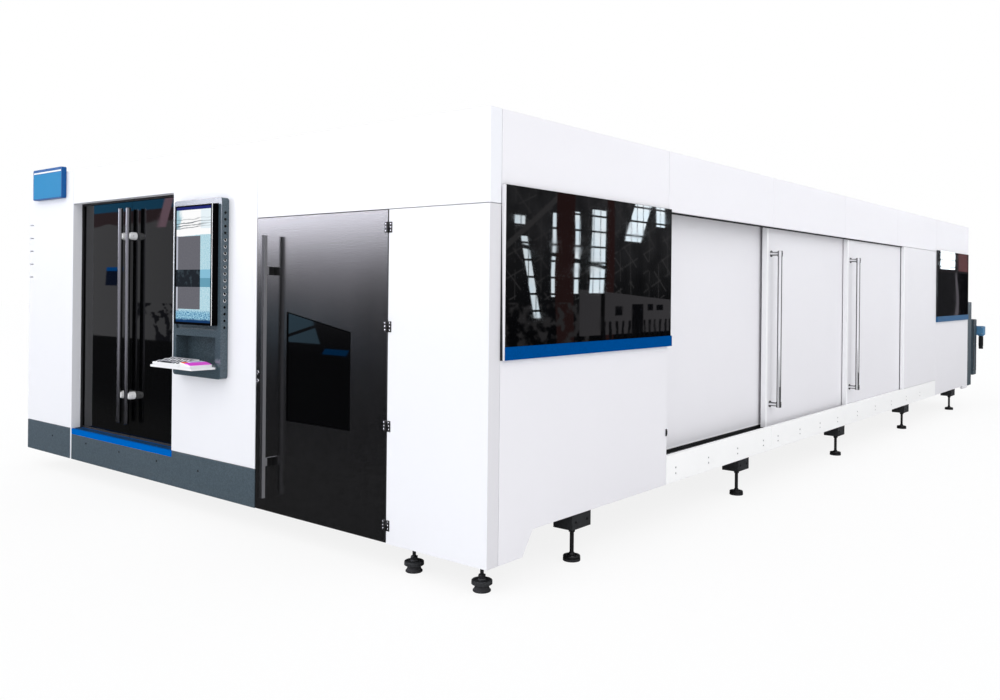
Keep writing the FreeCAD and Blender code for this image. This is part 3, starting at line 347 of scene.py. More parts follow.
def screen_glow(name):
    """Operator screen: blank panes in a plain layout and blue below; the bright band above, with
    its wavy edge and dark strands, is painted reflection of the room in the glass, glowing with
    the picture.
    """
    paint = Paint(name, Specular_IOR_Level=0.0, Emission_Strength=0.97,
                  Base_Color=(0.01, 0.01, 0.012, 1.0))
    low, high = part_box("monitor")
    x, _, z = paint.axes()
    across = (x - low.x) / (high.x - low.x)
    up = (z - low.z) / (high.z - low.z)
    haze = paint.noise(26.0, 5.0)
    grain = paint.noise(110.0, 3.0)
    edge = up + (paint.noise(9.0, 3.0, (1, 1, 5)) - 0.5) * 0.035
    cyan = paint.mix(paint.ramp(grain, 0.35, 0.62), (0.36, 0.62, 0.72), (0.55, 0.75, 0.82))
    band = paint.patch((up, 0.315, 0.46))
    top = paint.layers((0.36, 0.58, 0.66),
                       (paint.ramp(across + (haze - 0.5) * 0.3, 0.08, 0.22), WHITE),
                       (paint.ramp(across, 0.68, 0.72) * 0.45, (0.60, 0.80, 0.90)))
    fade = 1.0 - paint.ramp(across, 0.55, 0.85) * 0.6
    strands = [((1.0 - paint.ramp(abs(edge - across * 0.02 - level), 0.0015, 0.0065))
                * fade * depth, (0.10, 0.12, 0.14))
               for level, depth in ((0.806, 0.8), (0.824, 0.9), (0.846, 0.95), (0.874, 0.5))]
    # the bright top above the wavy edge, its white band and dark strands are painted reflection
    # glowing with the screen
    paint.feed(Roughness=haze * 0.05 + 0.06, Emission_Color=paint.layers(
        cyan, (across < 0.12, (0.50, 0.52, 0.60)),
        (band * (across > 0.69), paint.mix(up > 0.39, (0.13, 0.34, 0.46), (0.24, 0.52, 0.68))),
        (paint.patch((across, 0.09, 0.69), (up, 0.13, 0.74)),
         paint.mix(grain, (0.095, 0.095, 0.115), (0.17, 0.17, 0.19))),
        ((across < 0.69) * band, paint.mix(paint.ramp(haze, 0.5, 0.7), (0.006, 0.010, 0.014),
                                           (0.03, 0.045, 0.055))),
        (edge > 0.795, top), (paint.patch((edge, 0.745, 0.80)), WHITE), *strands,
        (up > 0.960, (0.008, 0.014, 0.15)),
        (paint.ramp(0.13 - up, 0.0, 0.03),
         paint.mix(paint.ramp(grain, 0.36, 0.60), (0.02, 0.16, 0.36), (0.36, 0.64, 0.76))),
        (paint.ramp(0.055 - up + (haze - 0.5) * 0.02, 0.0, 0.02), (0.0, 0.035, 0.13))))


def chrome_with_painted_reflection(name, tone, node):
    """Chrome of a pull handle with painted reflection: dark streaks along the tube's sides, over
    its lower 0.15 m and along the posts' edges, fixed in the metal's colour.
    """
    low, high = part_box(node)
    paint = Paint(name, Metallic=0.45)
    x, y, z = paint.axes()
    radius, axis_x, axis_y = 0.0165, high.x - 0.0155, (low.y + high.y) / 2
    post_z = 0.016
    across = (x - axis_x) * 0.92 + (y - axis_y) * 0.40
    # painted reflection: the dark streaks where the chrome would mirror dark surroundings
    streak = paint.ramp(abs(across) / radius, 0.48, 0.66)
    streak = streak.most((across > 0.003) * (z < low.z + 0.15))
    post = abs(z - low.z - post_z).least(abs(z - high.z + post_z))
    on_post = x < axis_x - 0.013
    streak = on_post * paint.ramp(post / radius, 0.30, 0.55) + (1.0 - on_post) * streak
    paint.bump(paint.noise(900.0, 2.0, (1, 1, 0.02)), 0.00001)
    paint.feed(Base_Color=paint.mix(streak * 0.88, tone, (0.02, 0.02, 0.022)),
               Roughness=paint.noise(14.0, 3.0) * 0.04 + 0.03)


def make_finishes(tones):
    """Every material, kept in FINISHES by its plain name."""
    for name, tone, rough, specular, speckle in (
            ("panel_white", tones.panel, 0.36, 0.25, 0.0),
            ("side_white", tones.flank, 0.38, 0.25, 0.0),
            # edge_painted_highlight: a lighter white for lit leading edges, their trims and the
            # fixed panel's lip, a painted highlight
            ("edge_painted_highlight", (0.98, 0.98, 1.0), 0.36, 0.25, 0.0),
            # fascia_painted_light: a lighter copy of the side colour for the side fascias,
            # painted light
            ("fascia_painted_light", shade(tones.flank, 1.055), 0.36, 0.25, 0.0),
            # corner_painted_shade: a darker copy of the side colour for the corner panel's side
            # face, painted shade
            ("corner_painted_shade", shade(tones.flank, 0.87), 0.38, 0.25, 0.0),
            ("slate", tones.slate, 0.42, 0.4, 0.35),
            ("blue", tones.blue, 0.34, 0.0, 0.10),
            ("strip_far", (0.028, 0.095, 0.20), 0.34, 0.03, 0.25),
            ("sill_blue", (0.0, 0.120, 0.49), 0.30, 0.0, 0.08),
            ("sill_tread", (0.003, 0.022, 0.055), 0.6, 0.05, 0.8),
            ("sign_blue", (0.012, 0.23, 0.485), 0.36, 0.1, 0.12),
            ("sign_edge", (0.003, 0.075, 0.26), 0.36, 0.2, 0.12),
            ("black_paint", tones.black, 0.40, 0.4, 0.3),
            ("dark_steel", (0.018, 0.019, 0.021), 0.5, 0.4, 0.3),
            ("cabinet_grey", (0.45, 0.46, 0.45), 0.4, 0.4, 0.0),
            ("motor_black", (0.010, 0.010, 0.012), 0.45, 0.4, 0.0),
            ("gear_blue", (0.07, 0.22, 0.40), 0.4, 0.4, 0.2)):
        powder_coat(name, tone, rough, specular, speckle)
    # rail_painted_light: a lighter copy of the side colour that offsets the shade low down by
    # the floor, painted light
    powder_coat("rail_painted_light", shade(tones.flank, 1.22), specular=0.25, soil=0.03)
    powder_coat("console_slate", tones.slate, 0.17, specular=0.62, speckle=0.35, soil=0.0)
    powder_coat("door_black", shade(tones.black, 0.3), rough=0.15, specular=1.0, speckle=0.7,
                peel=0.00005, grit=0.00035, fleck=9.0)
    powder_coat("frame_grey", (0.16, 0.17, 0.18), 0.45, speckle=0.2, soil=0.3, soil_height=1.2)
    dark_glass("black_glass", tones.glass, 0.0016)
    dark_glass("door_glass", tones.glass, 0.0012, specular=0.36)
    rubber("gasket", (0.012, 0.012, 0.013))
    rubber("rubber", (0.016, 0.016, 0.018))
    plated("chrome", tones.chrome, 0.02)
    plated("polished", (0.86, 0.86, 0.88), 0.14)
    # satin: flat white that stands in for the bright reflections on polished clamps, vent rings
    # and the monitor's right edge, a painted highlight
    plated("satin", (0.99, 0.99, 1.0), 0.30, metal=0.0, wear=0.02)
    plated("brushed", (0.30, 0.30, 0.32), 0.40, metal=0.4)
    plated("screw_steel", (0.55, 0.55, 0.56), 0.22, (1, 1, 1))
    plated("tube_steel", (0.16, 0.16, 0.17), 0.13)
    plated("brass", (0.72, 0.45, 0.16), 0.2)
    plated("machined", (0.50, 0.50, 0.51), 0.24, (1, 0.02, 1))
    for place in ("middle", "rear"):
        chrome_with_painted_reflection("chrome_with_painted_reflection_" + place, tones.chrome, "side_handle_" + place)
    mill_steel("bare_steel", (0.33, 0.32, 0.31))
    for name, tone, rough in (
            ("drive_plastic", (0.10, 0.105, 0.11), 0.45),
            ("duct_plastic", (0.52, 0.53, 0.52), 0.5),
            ("light_plastic", (0.88, 0.88, 0.90), 0.35),
            ("key_plastic", (0.42, 0.42, 0.46), 0.4),
            ("pad_magenta", (0.90, 0.07, 0.80), 0.35),
            ("pad_orange", (0.95, 0.13, 0.04), 0.35),
            ("pad_violet", (0.62, 0.62, 0.86), 0.35),
            ("indicator", (0.75, 0.80, 0.85), 0.25)):
        plastic(name, tone, rough)
    plastic("bezel", (0.006, 0.006, 0.007), 0.18, 0.5)
    plastic("screen_frame", (0.003, 0.003, 0.0035), 0.5, 0.0)
    screen_glow("screen")


# -------- modelling

def mirrored(half, length):
    """A lathe profile of the given length whose ends are alike."""
    return half + [(length - along, radius) for along, radius in reversed(half)]


def add_object(name, mesh):
    """Object of a mesh, lamp or camera, in the scene."""
    made = bpy.data.objects.new(name, mesh)
    bpy.context.scene.collection.objects.link(made)
    return made


class Piece:
    """A mesh in the machine's own frame, built up from bmesh operators."""

    def __init__(self, name, *materials):
        self.name = name
        self.materials = materials
        self.bm = bmesh.new()
        self.known = set()

    def fresh(self):
        """Faces made since the last call of settle."""
        return [face for face in self.bm.faces if face not in self.known]

    def corners(self):
        """Vertices of the fresh faces."""
        return list({vert for face in self.fresh() for vert in face.verts})

    def settle(self, material):
        """Gives the fresh faces one of the piece's materials."""
        fresh = self.fresh()
        for face in fresh:
            face.material_index = material
        self.known.update(fresh)
        return fresh

    def ease(self, edges, offset, segments):
        """Rounds some edges."""
        bmesh.ops.bevel(self.bm, geom=edges, offset=offset, segments=segments, profile=0.5,
                        affect="EDGES", material=-1, clamp_overlap=True)

    def slab(self, first, second, edge=0.002, material=0, segments=2):
        """Block between two points with rounded edges."""
        low = Vector(map(min, zip(first, second)))
        high = Vector(map(max, zip(first, second)))
        corners = bmesh.ops.create_cube(self.bm, size=1.0)["verts"]
        bmesh.ops.scale(self.bm, vec=high - low, verts=corners)
        bmesh.ops.translate(self.bm, vec=(low + high) / 2, verts=corners)
        if edge:
            self.ease(list({item for vert in corners for item in vert.link_edges}),
                      min(edge, 0.45 * min(high - low)), segments)
        return self.settle(material)

    def lathe(self, origin, profile, material=0, steps=32, axis=UP):
        """Turned shape: the profile's pairs are distance along the axis and radius."""
        start = [self.bm.verts.new((radius, 0.0, along)) for along, radius in profile]
        edges = [self.bm.edges.new(pair) for pair in zip(start, start[1:])]
        bmesh.ops.spin(self.bm, geom=start + edges, cent=(0, 0, 0), axis=UP, angle=math.tau,
                       steps=steps, use_merge=True)
        bmesh.ops.remove_doubles(self.bm, verts=self.corners(), dist=1e-6)
        facing = Vector(axis).to_track_quat("Z", "Y").to_matrix().to_4x4()
        bmesh.ops.transform(self.bm, matrix=Matrix.Translation(origin) @ facing,
                            verts=self.corners())
        bmesh.ops.recalc_face_normals(self.bm, faces=self.fresh())
        return self.settle(material)

    def bar(self, start, end, radius, material=0, steps=24, edge=0.0015):
        """Round bar with eased ends."""
        way = Vector(end) - Vector(start)
        ease = min(edge, radius * 0.5)
        half = [(0, 0), (0, radius - ease), (ease * 0.3, radius - ease * 0.3), (ease, radius)]
        return self.lathe(start, mirrored(half, way.length), material, steps, way)

    def screw(self, centre, axis, radius, material=0, steps=12):
        """Pan-head screw with a round recess, seated on a face."""
        proud, recess = radius * 0.42, radius * 0.42
        return self.lathe(centre, [
            (0, radius), (proud * 0.6, radius), (proud, radius * 0.72), (proud, recess),
            (proud * 0.25, recess), (proud * 0.25, 0)], material, steps, axis)

    def stud(self, base, length, radius, material):
        """Plain upright rod."""
        self.lathe(base, mirrored([(0, 0), (0, radius)], length), material, 16)

    def nut(self, base, height, material):
        """Upright hexagon nut."""
        half = [(0, 0.008), (0, 0.0175), (0.0015, 0.0185)]
        self.lathe(base, mirrored(half, height), material, 6)

    def node(self, name, edge, segments=2, angle=35):
        """Copy of a CAD node with its loose triangles merged and its edges rounded."""
        self.bm.from_mesh(frame["nodes"][name].data)
        bmesh.ops.remove_doubles(self.bm, verts=self.bm.verts[:], dist=2e-5)
        bmesh.ops.dissolve_limit(self.bm, angle_limit=math.radians(0.6),
                                 verts=self.bm.verts[:], edges=self.bm.edges[:])
        self.ease([item for item in self.bm.edges if len(item.link_faces) == 2
                   and item.calc_face_angle(0.0) > math.radians(angle)], edge, segments)
        return self.settle(0)

    def tint(self, way, material):
        """Another material for the faces that look one way."""
        for face in self.bm.faces:
            face.normal_update()
            if face.normal.dot(Vector(way)) > 0.7:
                face.material_index = material

    def soft(self, edge, angle):
        """Whether an edge is shaded round: not at a corner, nor beside a broad flat face."""
        if len(edge.link_faces) != 2:
            return False
        bend = edge.calc_face_angle(0.0)
        areas = sorted(face.calc_area() for face in edge.link_faces)
        return bend < angle and (bend < 0.02 or areas[1] < 6 * areas[0])

    def done(self, slot, *replaced, body=None, angle=40):
        """Makes the object, sets it on its body and hides the nodes that it stands for. Unless
        a body is given it rides with those nodes, or else with the enclosure."""
        mesh = bpy.data.meshes.new(self.name)
        for edge in self.bm.edges:
            edge.smooth = self.soft(edge, math.radians(angle))
        for face in self.bm.faces:
            face.smooth = True
        self.bm.to_mesh(mesh)
        self.bm.free()
        for material in self.materials:
            mesh.materials.append(FINISHES[material])
        piece = add_object(self.name, mesh)
        if body is None:
            body = frame["nodes"][replaced[0]]["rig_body"] if replaced else "enclosure"
        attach(piece, body)
        if replaced:
            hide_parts(*replaced)


def dressed(node, material, slot, edge=None, angle=35, side=None):
    """A CAD node's copy with rounded edges, in its place. side is a direction and the
    material of the faces that look that way."""
    piece = Piece(node + "_dressed", material, *(side[1:] if side else ()))
    piece.node(node, bpy.context.scene.machine_detail.edge if edge is None else edge,
               angle=angle)
    if side:
        piece.tint(side[0], 1)
    piece.done(slot, node)


def strip(name, material, body, slot, first, second, edge):
    """Piece made of one slab."""
    piece = Piece(name, material)
    piece.slab(first, second, edge)
    piece.done(slot, body=body)


class Step(bpy.types.Operator):
    """Base of the machine's operators."""
    bl_options = {"REGISTER", "UNDO"}

    def execute(self, context):
        self.build(context.scene.machine_detail)
        return {"FINISHED"}


# -------- finishes on the CAD nodes

NODE_FINISH = {
    "panel_white": ("fascia_front", "front_corner_panel", "front_middle_panel",
                    "front_left_panel"),
    "side_white": ("near_side_panel", "far_side_panel", "rear_side_panel", "fixed_side_panel",
                   "side_door_middle", "side_door_rear", "roof", "end_wall", "back_panel_1",
                   "back_panel_2"),
    "rail_painted_light": ("base_rail_1", "base_rail_2", "base_rail_3"),
    "fascia_painted_light": ("fascia_side_1", "fascia_side_2", "fascia_side_3", "fascia_side_4"),
    "slate": ("front_plinth", "drive_frame"),
    "console_slate": ("console_housing",),
    "blue": ("window_strips",),
    "sill_blue": ("door_sill",),
    "sign_blue": ("sign_box",),
    "black_paint": ("cabinet_door_handle", "cabinet_door_hinge_plates",
                    "cabinet_door_hinge_leaves", "levelling_feet", "front_feet"),
    "door_black": ("cabinet_door",),
    "black_glass": ("near_window", "far_window"),
    "door_glass": ("glass_leaf_left", "glass_leaf_right", "cabinet_door_window"),
    "chrome": ("side_handle_middle", "side_handle_rear"),
    "tube_steel": ("glass_handle_left", "glass_handle_right"),
    "bezel": ("monitor",),
    "light_plastic": ("keyboard_tray", "keyboard"),
    "dark_steel": ("base_frame", "side_door_tracks"),
    "frame_grey": ("enclosure_frame", "machine_bed", "gantry_beam", "carriage",
                   "exchange_lift", "exchange_posts"),
    "cabinet_grey": ("control_cabinet", "laser_source"),
    "machined": ("gantry_rails", "cutting_head"),
    "bare_steel": ("work_pallet", "waiting_pallet"),
    "gear_blue": ("lift_motor",),
}


class MACHINE_OT_finishes(Step):
    """Makes the finishes and gives each CAD node its own"""
    bl_idname = "machine.finishes"
    bl_label = "Finishes"

    def build(self, detail):
        make_finishes(bpy.context.scene.machine_finish)
        for material, nodes in NODE_FINISH.items():
            for node in nodes:
                mesh = frame["nodes"][node].data
                mesh.materials.clear()
                mesh.materials.append(FINISHES[material])
        missing = set(frame["nodes"]).difference(*NODE_FINISH.values())
        if missing:
            raise RuntimeError("nodes without a finish: %s" % sorted(missing))


# -------- sheet panels

class MACHINE_OT_panels(Step):
    """Rounds the folded edges of the sheet panels and adds their screws"""
    bl_idname = "machine.panels"
    bl_label = "Sheet panels"

    PLINTH_SCREWS = ((3775, 269), (3305, 266), (2822, 266), (4300, 268), (2340, 266))
    RAIL_SCREWS = (1788, 2230, 2670, 3105, 3374, 3812, 4252, 4678, 5200, 5720, 6240, 6760, 7280)
    RAIL_ROWS = (302, 337)

    def build(self, detail):
        # the front-facing edge faces of the doors and rear panel take the lighter edge white, a
        # painted highlight
        leading = (OUT_FRONT, "edge_painted_highlight")
        # the corner panel's side face takes a darker copy of the side colour, painted shade
        sides = {"front_corner_panel": (OUT_SIDE, "corner_painted_shade"), "side_door_middle": leading,
                 "side_door_rear": leading, "rear_side_panel": leading}
        for material, slot in (
                ("panel_white", "panel_white"), ("side_white", "side_white"),
                ("rail_painted_light", "side_white"), ("fascia_painted_light", "side_white"),
                ("slate", "slate")):
            for node in NODE_FINISH[material]:
                if node != "drive_frame":
                    dressed(node, material, slot, side=sides.get(node))
        screws = Piece("plinth_screws", "gasket")
        for s, z in self.PLINTH_SCREWS:
            screws.screw(front(s, 0, z), OUT_FRONT, detail.screw * 1.2)
        screws.done("black_paint")
        pairs = Piece("base_rail_screws", "screw_steel")
        for t in self.RAIL_SCREWS:
            for z in self.RAIL_ROWS:
                pairs.screw(flank(t, 0, z), OUT_SIDE, detail.screw)
        pairs.done("dark_steel")


# -------- black cabinet door

class MACHINE_OT_cabinet_door(Step):
    """Black hinged door with its window gasket, lock, hinges and pull handle"""
    bl_idname = "machine.cabinet_door"
    bl_label = "Cabinet door"

    POST_INSET = 0.200
    WINDOW_SHORT_SIDE = 1.178
    LOCK = (1735, (917, 868))
    HINGES = (222, 720, 1219, 1718)
    HINGE_SCREWS = (-17, 0, 17)

    def build(self, detail):
        dressed("cabinet_door", "door_black", "black_paint", edge=0.0025)
        self.handle()
        self.gasket()
        self.lock()
        self.hinges()

    def handle(self):
        """Square bar on two square posts with collars; its faces towards +x take the lighter
        brushed finish as a painted highlight.
        """
        low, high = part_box("cabinet_door_handle")
        middle = (low.x + high.x) / 2
        pull = Piece("cabinet_door_handle_dressed", "black_paint", "brushed")

        def block(half, front_y, back_y, bottom, top):
            pull.slab((middle - half, front_y, bottom), (middle + half, back_y, top), 0.0012)

        posts = (low.z + self.POST_INSET, high.z - self.POST_INSET)
        block(0.0112, low.y, low.y + 0.0225, low.z, high.z)
        for z in posts:
            block(0.0085, low.y + 0.021, high.y, z - 0.0225, z + 0.0225)
        # painted highlight: faces towards +x get the lighter brushed finish
        pull.tint(OUT_SIDE, 1)
        for z in posts:
            block(0.0100, low.y + 0.036, high.y, z - 0.0235, z + 0.0235)
        pull.done("black_paint", "cabinet_door_handle")

    def gasket(self):
        """Rubber bead over the edge of the sloping window."""
        low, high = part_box("cabinet_door_window")
        lap = 0.0115
        left, right, bottom = low.x + lap, high.x - lap, low.z + lap
        ring = [Vector((x, CORNER.y + 0.0018, z)) for x, z in (
            (left, bottom), (right, bottom), (right, self.WINDOW_SHORT_SIDE),
            (left, high.z - lap))]
        bead = Piece("door_window_gasket", "screen_frame")
        for start, end in zip(ring, ring[1:] + ring[:1]):
            bead.bar(start, end, 0.0038, steps=12)
        bead.done("black_paint", body="cabinet_door")

    def lock(self):
        """Round quarter-turn locks near the door's closing edge."""
        lock = Piece("cabinet_lock", "chrome", "gasket")
        s, levels = self.LOCK
        for z in levels:
            centre = front(s, 0, z)
            lock.lathe(centre, [(0, 0.0125), (0.003, 0.0125), (0.0048, 0.0105),
                                (0.0048, 0.0075), (0.003, 0.0068), (0.003, 0)],
                       steps=24, axis=OUT_FRONT)
            lock.slab(centre + Vector((-0.0012, -0.0042, -0.0045)),
                      centre + Vector((0.0012, -0.0028, 0.0045)), 0, 1)
        lock.done("chrome", body="cabinet_door")

    def hinges(self):
        """Hinge halves with rounded edges and their screws."""
        for node in ("cabinet_door_hinge_plates", "cabinet_door_hinge_leaves"):
            half = Piece(node + "_dressed", "black_paint", "polished")
            half.node(node, 0.0006, 1, angle=50)
            low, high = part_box(node)
            x = high.x - 0.0095 if node.endswith("plates") else low.x + 0.0095
            for level in self.HINGES:
                for lift in self.HINGE_SCREWS:
                    half.screw((x, CORNER.y - 0.003, (level + lift) / 1000), OUT_FRONT,
                               0.0042, 1)
            half.done("black_paint", node)


# -------- glass sliding doors

class MACHINE_OT_glass_doors(Step):
    """Glass leaves with their gaskets, tubes, clamps and threshold"""
    bl_idname = "machine.glass_doors"
    bl_label = "Glass doors"

    TUBE_RADIUS = 0.017
    CLAMP_INSET = 0.193
    RIBS, RIB_WIDTH = 5, 0.0065

    def build(self, detail):
        for side in ("left", "right"):
            self.leaf(detail.gasket, side)
            self.handle(side)
        self.sill()
        self.jamb_seals()

    def leaf(self, width, side):
        """Black edge seals on the glass: at the jamb and along the foot."""
        low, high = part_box("glass_leaf_" + side)
        back = low.y + 0.004
        trim = Piece("glass_trim_" + side, "gasket")
        x = low.x if side == "left" else high.x - width
        trim.slab((x, low.y - 0.0006, low.z + 0.002), (x + width, back, high.z - 0.002), 0.0004)
        trim.slab((low.x + 0.002, low.y - 0.0014, low.z + 0.0005),
                  (high.x - 0.002, back, low.z + 0.016), 0.0006)
        trim.done("black_glass", body="glass_leaf_" + side)

    def handle(self, side):
        """Long tube with end caps, held by two clamps in flat white that paints the polished
        steel's bright reflection, a painted highlight.
        """
        node = "glass_handle_" + side
        low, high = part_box(node)
        radius = self.TUBE_RADIUS
        x, y = (low.x + high.x) / 2, low.y + radius
        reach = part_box("glass_leaf_" + side)[0].y - y
        pull = Piece(node + "_tube", "tube_steel", "satin", "screw_steel")
        half = [(0, 0), (0, radius - 0.004), (0.0015, radius - 0.0012), (0.004, radius)]
        pull.lathe((x, y, low.z), mirrored(half, high.z - low.z), steps=40)
        for z in (low.z + self.CLAMP_INSET, high.z - self.CLAMP_INSET):
            pull.lathe((x, y, z), [
                (0, 0.0), (0, 0.0245), (0.0015, 0.0262), (reach - 0.0085, 0.0262),
                (reach - 0.0075, 0.0248), (reach - 0.0060, 0.0248),
                (reach - 0.0050, 0.0262), (reach, 0.0262), (reach, 0.0)], 1, 36, (0, 1, 0))
            pull.screw((x + 0.0255, y + 0.026, z), OUT_SIDE, 0.0035, 2)
        pull.done("chrome", node)

    def sill(self):
        """Threshold: its blue front with a ribbed dark step on top."""
        low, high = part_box("door_sill")
        sill = Piece("door_sill_dressed", "sill_blue", "sill_tread")
        sill.node("door_sill", 0.0012, 1)
        sill.slab((low.x + 0.003, low.y + 0.003, high.z - 0.001),
                  (high.x - 0.003, low.y + 0.066, high.z + 0.0008), 0.0004, 1, 1)
        for number in range(self.RIBS):
            y = low.y + 0.006 + number * 2 * self.RIB_WIDTH
            sill.slab((low.x + 0.006, y, high.z),
                      (high.x - 0.006, y + self.RIB_WIDTH, high.z + 0.0020), 0.0006,
                      1 if number else 0, 1)
        sill.done("blue", "door_sill")

    def jamb_seals(self):
        """Black brush seals at the jambs and under the header."""
        low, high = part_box("door_sill")
        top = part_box("glass_leaf_left")[1].z - 0.007
        seal = Piece("jamb_seals", "gasket")
        for x0, x1, z in ((low.x - 0.001, low.x + 0.0142, 0.3565),
                          (high.x - 0.006, high.x, 0.3565), (low.x, high.x, top - 0.014)):
            seal.slab((x0, CORNER.y + 0.064, z), (x1, CORNER.y + 0.0755, top), 0.001)
        seal.done("black_paint")


# -------- console

class MACHINE_OT_console(Step):
    """Operator console: housing, screen, vents and lamp"""
    bl_idname = "machine.console"
    bl_label = "Console"

    VENTS, FIRST_VENT, VENT_PITCH = 18, 1.166, 0.0404
    HIGHLIGHT_VENTS = range(4, 14)
    LAMP_HEIGHT = 1.79

    def build(self, detail):
        dressed("console_housing", "console_slate", "slate", edge=0.0015, angle=55)
        self.monitor()
        self.vents()
        self.lamp()

    def monitor(self):
        """Portrait screen: black frame, a grey top edge, a white right edge that is a painted
        highlight of the bezel's corner, and the lit panel set into it.
        """
        low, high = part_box("monitor")
        face, rim = low.y, 0.0016
        screen = Piece("monitor_dressed", "screen_frame", "screen", "brushed", "satin")
        screen.node("monitor", 0.002, 2, angle=55)
        left, right = low.x + 0.003, high.x - 0.006
        foot, top = low.z + 0.001, high.z - 0.001
        # the right edge is flat white, a painted highlight of the bezel's corner
        for x0, x1, z0, z1, tone in (
                (low.x + 0.001, left, foot, top, 0), (right, high.x - 0.0015, foot, top, 3),
                (left, right, foot, low.z + 0.0025, 0), (left, right, high.z - 0.0025, top, 2)):
            screen.slab((x0, face - rim, z0), (x1, face, z1), 0.0005, tone, 1)
        screen.slab((low.x + 0.018, face - 0.0010, low.z + 0.015),
                    (high.x - 0.019, face + 0.001, high.z - 0.011), 0.0004, 1, 1)
        screen.done("screen", "monitor")

    def vents(self):
        """Black liners of the round vents, each closed by a black floor that paints the hole's
        dark inside as painted shade; the middle ones get a white ring as a painted highlight.
        """
        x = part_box("console_housing")[1].x - 0.0044
        liner = Piece("console_vents", "screen_frame", "satin")
        for number in range(self.VENTS):
            centre = Vector((x, CORNER.y - 0.025, self.FIRST_VENT + self.VENT_PITCH * number))
            liner.lathe(centre, [(0.0042, 0.0082), (0.0049, 0.0078), (0.0049, 0.0060),
                                 (0.0040, 0.0055), (0.0010, 0.0055), (0.0010, 0)],
                        0, 12, OUT_SIDE)
            # painted highlight: a white ring on the middle vents
            if number in self.HIGHLIGHT_VENTS:
                liner.lathe(centre + Vector((0, 0.0006, -0.0016)), [
                    (0.0042, 0.0100), (0.0047, 0.0096), (0.0047, 0.0080)], 1, 12, OUT_SIDE)
        liner.done("black_paint")

    def lamp(self):
        """Round indicator beside the screen."""
        lamp = Piece("console_lamp", "chrome", "indicator")
        centre = (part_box("monitor")[1].x + 0.008, CORNER.y - 0.0385, self.LAMP_HEIGHT)
        for tone, profile in enumerate((
                [(0, 0.0055), (0.0022, 0.0055), (0.003, 0.0045), (0.003, 0.0035)],
                [(0.002, 0.0036), (0.0036, 0.0032), (0.0048, 0.0018), (0.005, 0)])):
            lamp.lathe(centre, profile, tone, 20, OUT_FRONT)
        lamp.done("chrome")


class MACHINE_OT_keyboard(Step):
    """Folding tray with the keyboard's keys and the touch pad"""
    bl_idname = "machine.keyboard"
    bl_label = "Keyboard tray"

    BOARD_LENGTH, PAD_LENGTH = 0.294, 0.112
    ROWS, MARGIN = 6, 0.006
    SPACE_BAR, SPACE_KEYS = (0, 4), 6
    KEY_TONES = (4, 1, 4, 0)
    BOARD_SLOPE, PAD_CROWN = 0.15, 0.0145

    def build(self, detail):
        dressed("keyboard_tray", "light_plastic", "light_plastic", edge=0.0012)
        low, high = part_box("keyboard")
        board = Piece("keyboard_dressed", "light_plastic", "key_plastic", "pad_magenta",
                      "pad_orange", "bezel", "pad_violet")
        pad_left, right = high.x - self.PAD_LENGTH, high.x + 0.001
        self.keys(board, low, high, detail.keys)
        self.pad(board, low, pad_left, right, high.y + 0.008)
        for vert in board.bm.verts:
            if vert.co.z > low.z + 0.010:
                away = (vert.co.x - pad_left) / (right - pad_left)
                vert.co.z += ((1.0 - away ** 2) * self.PAD_CROWN if away > -0.001
                              else (vert.co.y - low.y) * self.BOARD_SLOPE)
        board.done("light_plastic", "keyboard")

    def keys(self, board, low, high, count):
        """Board with its rows of caps and a space bar."""
        top = low.z + 0.0215
        board.slab(low, (low.x + self.BOARD_LENGTH, high.y, top), 0.003)
        pitch_x = (self.BOARD_LENGTH - 2 * self.MARGIN) / count
        pitch_y = (high.y - low.y - 2 * self.MARGIN) / self.ROWS
        for row in range(self.ROWS):
            y = low.y + self.MARGIN + row * pitch_y
            column = 0
            while column < count:
                span = self.SPACE_KEYS if (row, column) == self.SPACE_BAR else 1
                x = low.x + self.MARGIN + column * pitch_x
                tone = self.KEY_TONES[(row * 5 + column * 3 + row * column) % 4]
                board.slab((x + 0.0012, y + 0.0014, top - 0.0008),
                           (x + span * pitch_x - 0.0012, y + pitch_y - 0.0014, top + 0.0035),
                           0.0012, tone, 1)
                column += span

    def pad(self, board, low, left, right, rear):
        """Pad beside the keys with its magenta, orange and violet fields."""
        deck = low.z + 0.0195
        board.slab((left, low.y, low.z), (right, rear, deck), 0.003)
        for x0, y0, x1, y1, tone in (
                (left + 0.052, low.y + 0.004, right - 0.002, rear - 0.003, 2),
                (left + 0.010, low.y + 0.005, left + 0.048, low.y + 0.034, 3),
                (left + 0.008, low.y + 0.050, left + 0.048, rear - 0.006, 5)):
            board.slab((x0, y0, deck - 0.006), (x1, y1, deck + 0.002), 0.0008, tone)


class MACHINE_OT_sign(Step):
    """Blank sign box with its light stripe"""
    bl_idname = "machine.sign"
    bl_label = "Sign box"

    def build(self, detail):
        low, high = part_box("sign_box")
        box = Piece("sign_box_dressed", "sign_edge", "sign_blue", "light_plastic")
        box.node("sign_box", 0.0025, 2, angle=55)
        for inset, bottom, top, tone in ((0.009, low.z + 0.009, high.z - 0.036, 1),
                                         (0.012, high.z - 0.033, high.z - 0.021, 2)):
            box.slab((low.x + inset, low.y - 0.0002, bottom),
                     (high.x - inset, low.y + 0.002, top), 0.0008, tone)
        box.done("blue", "sign_box")


# -------- long side

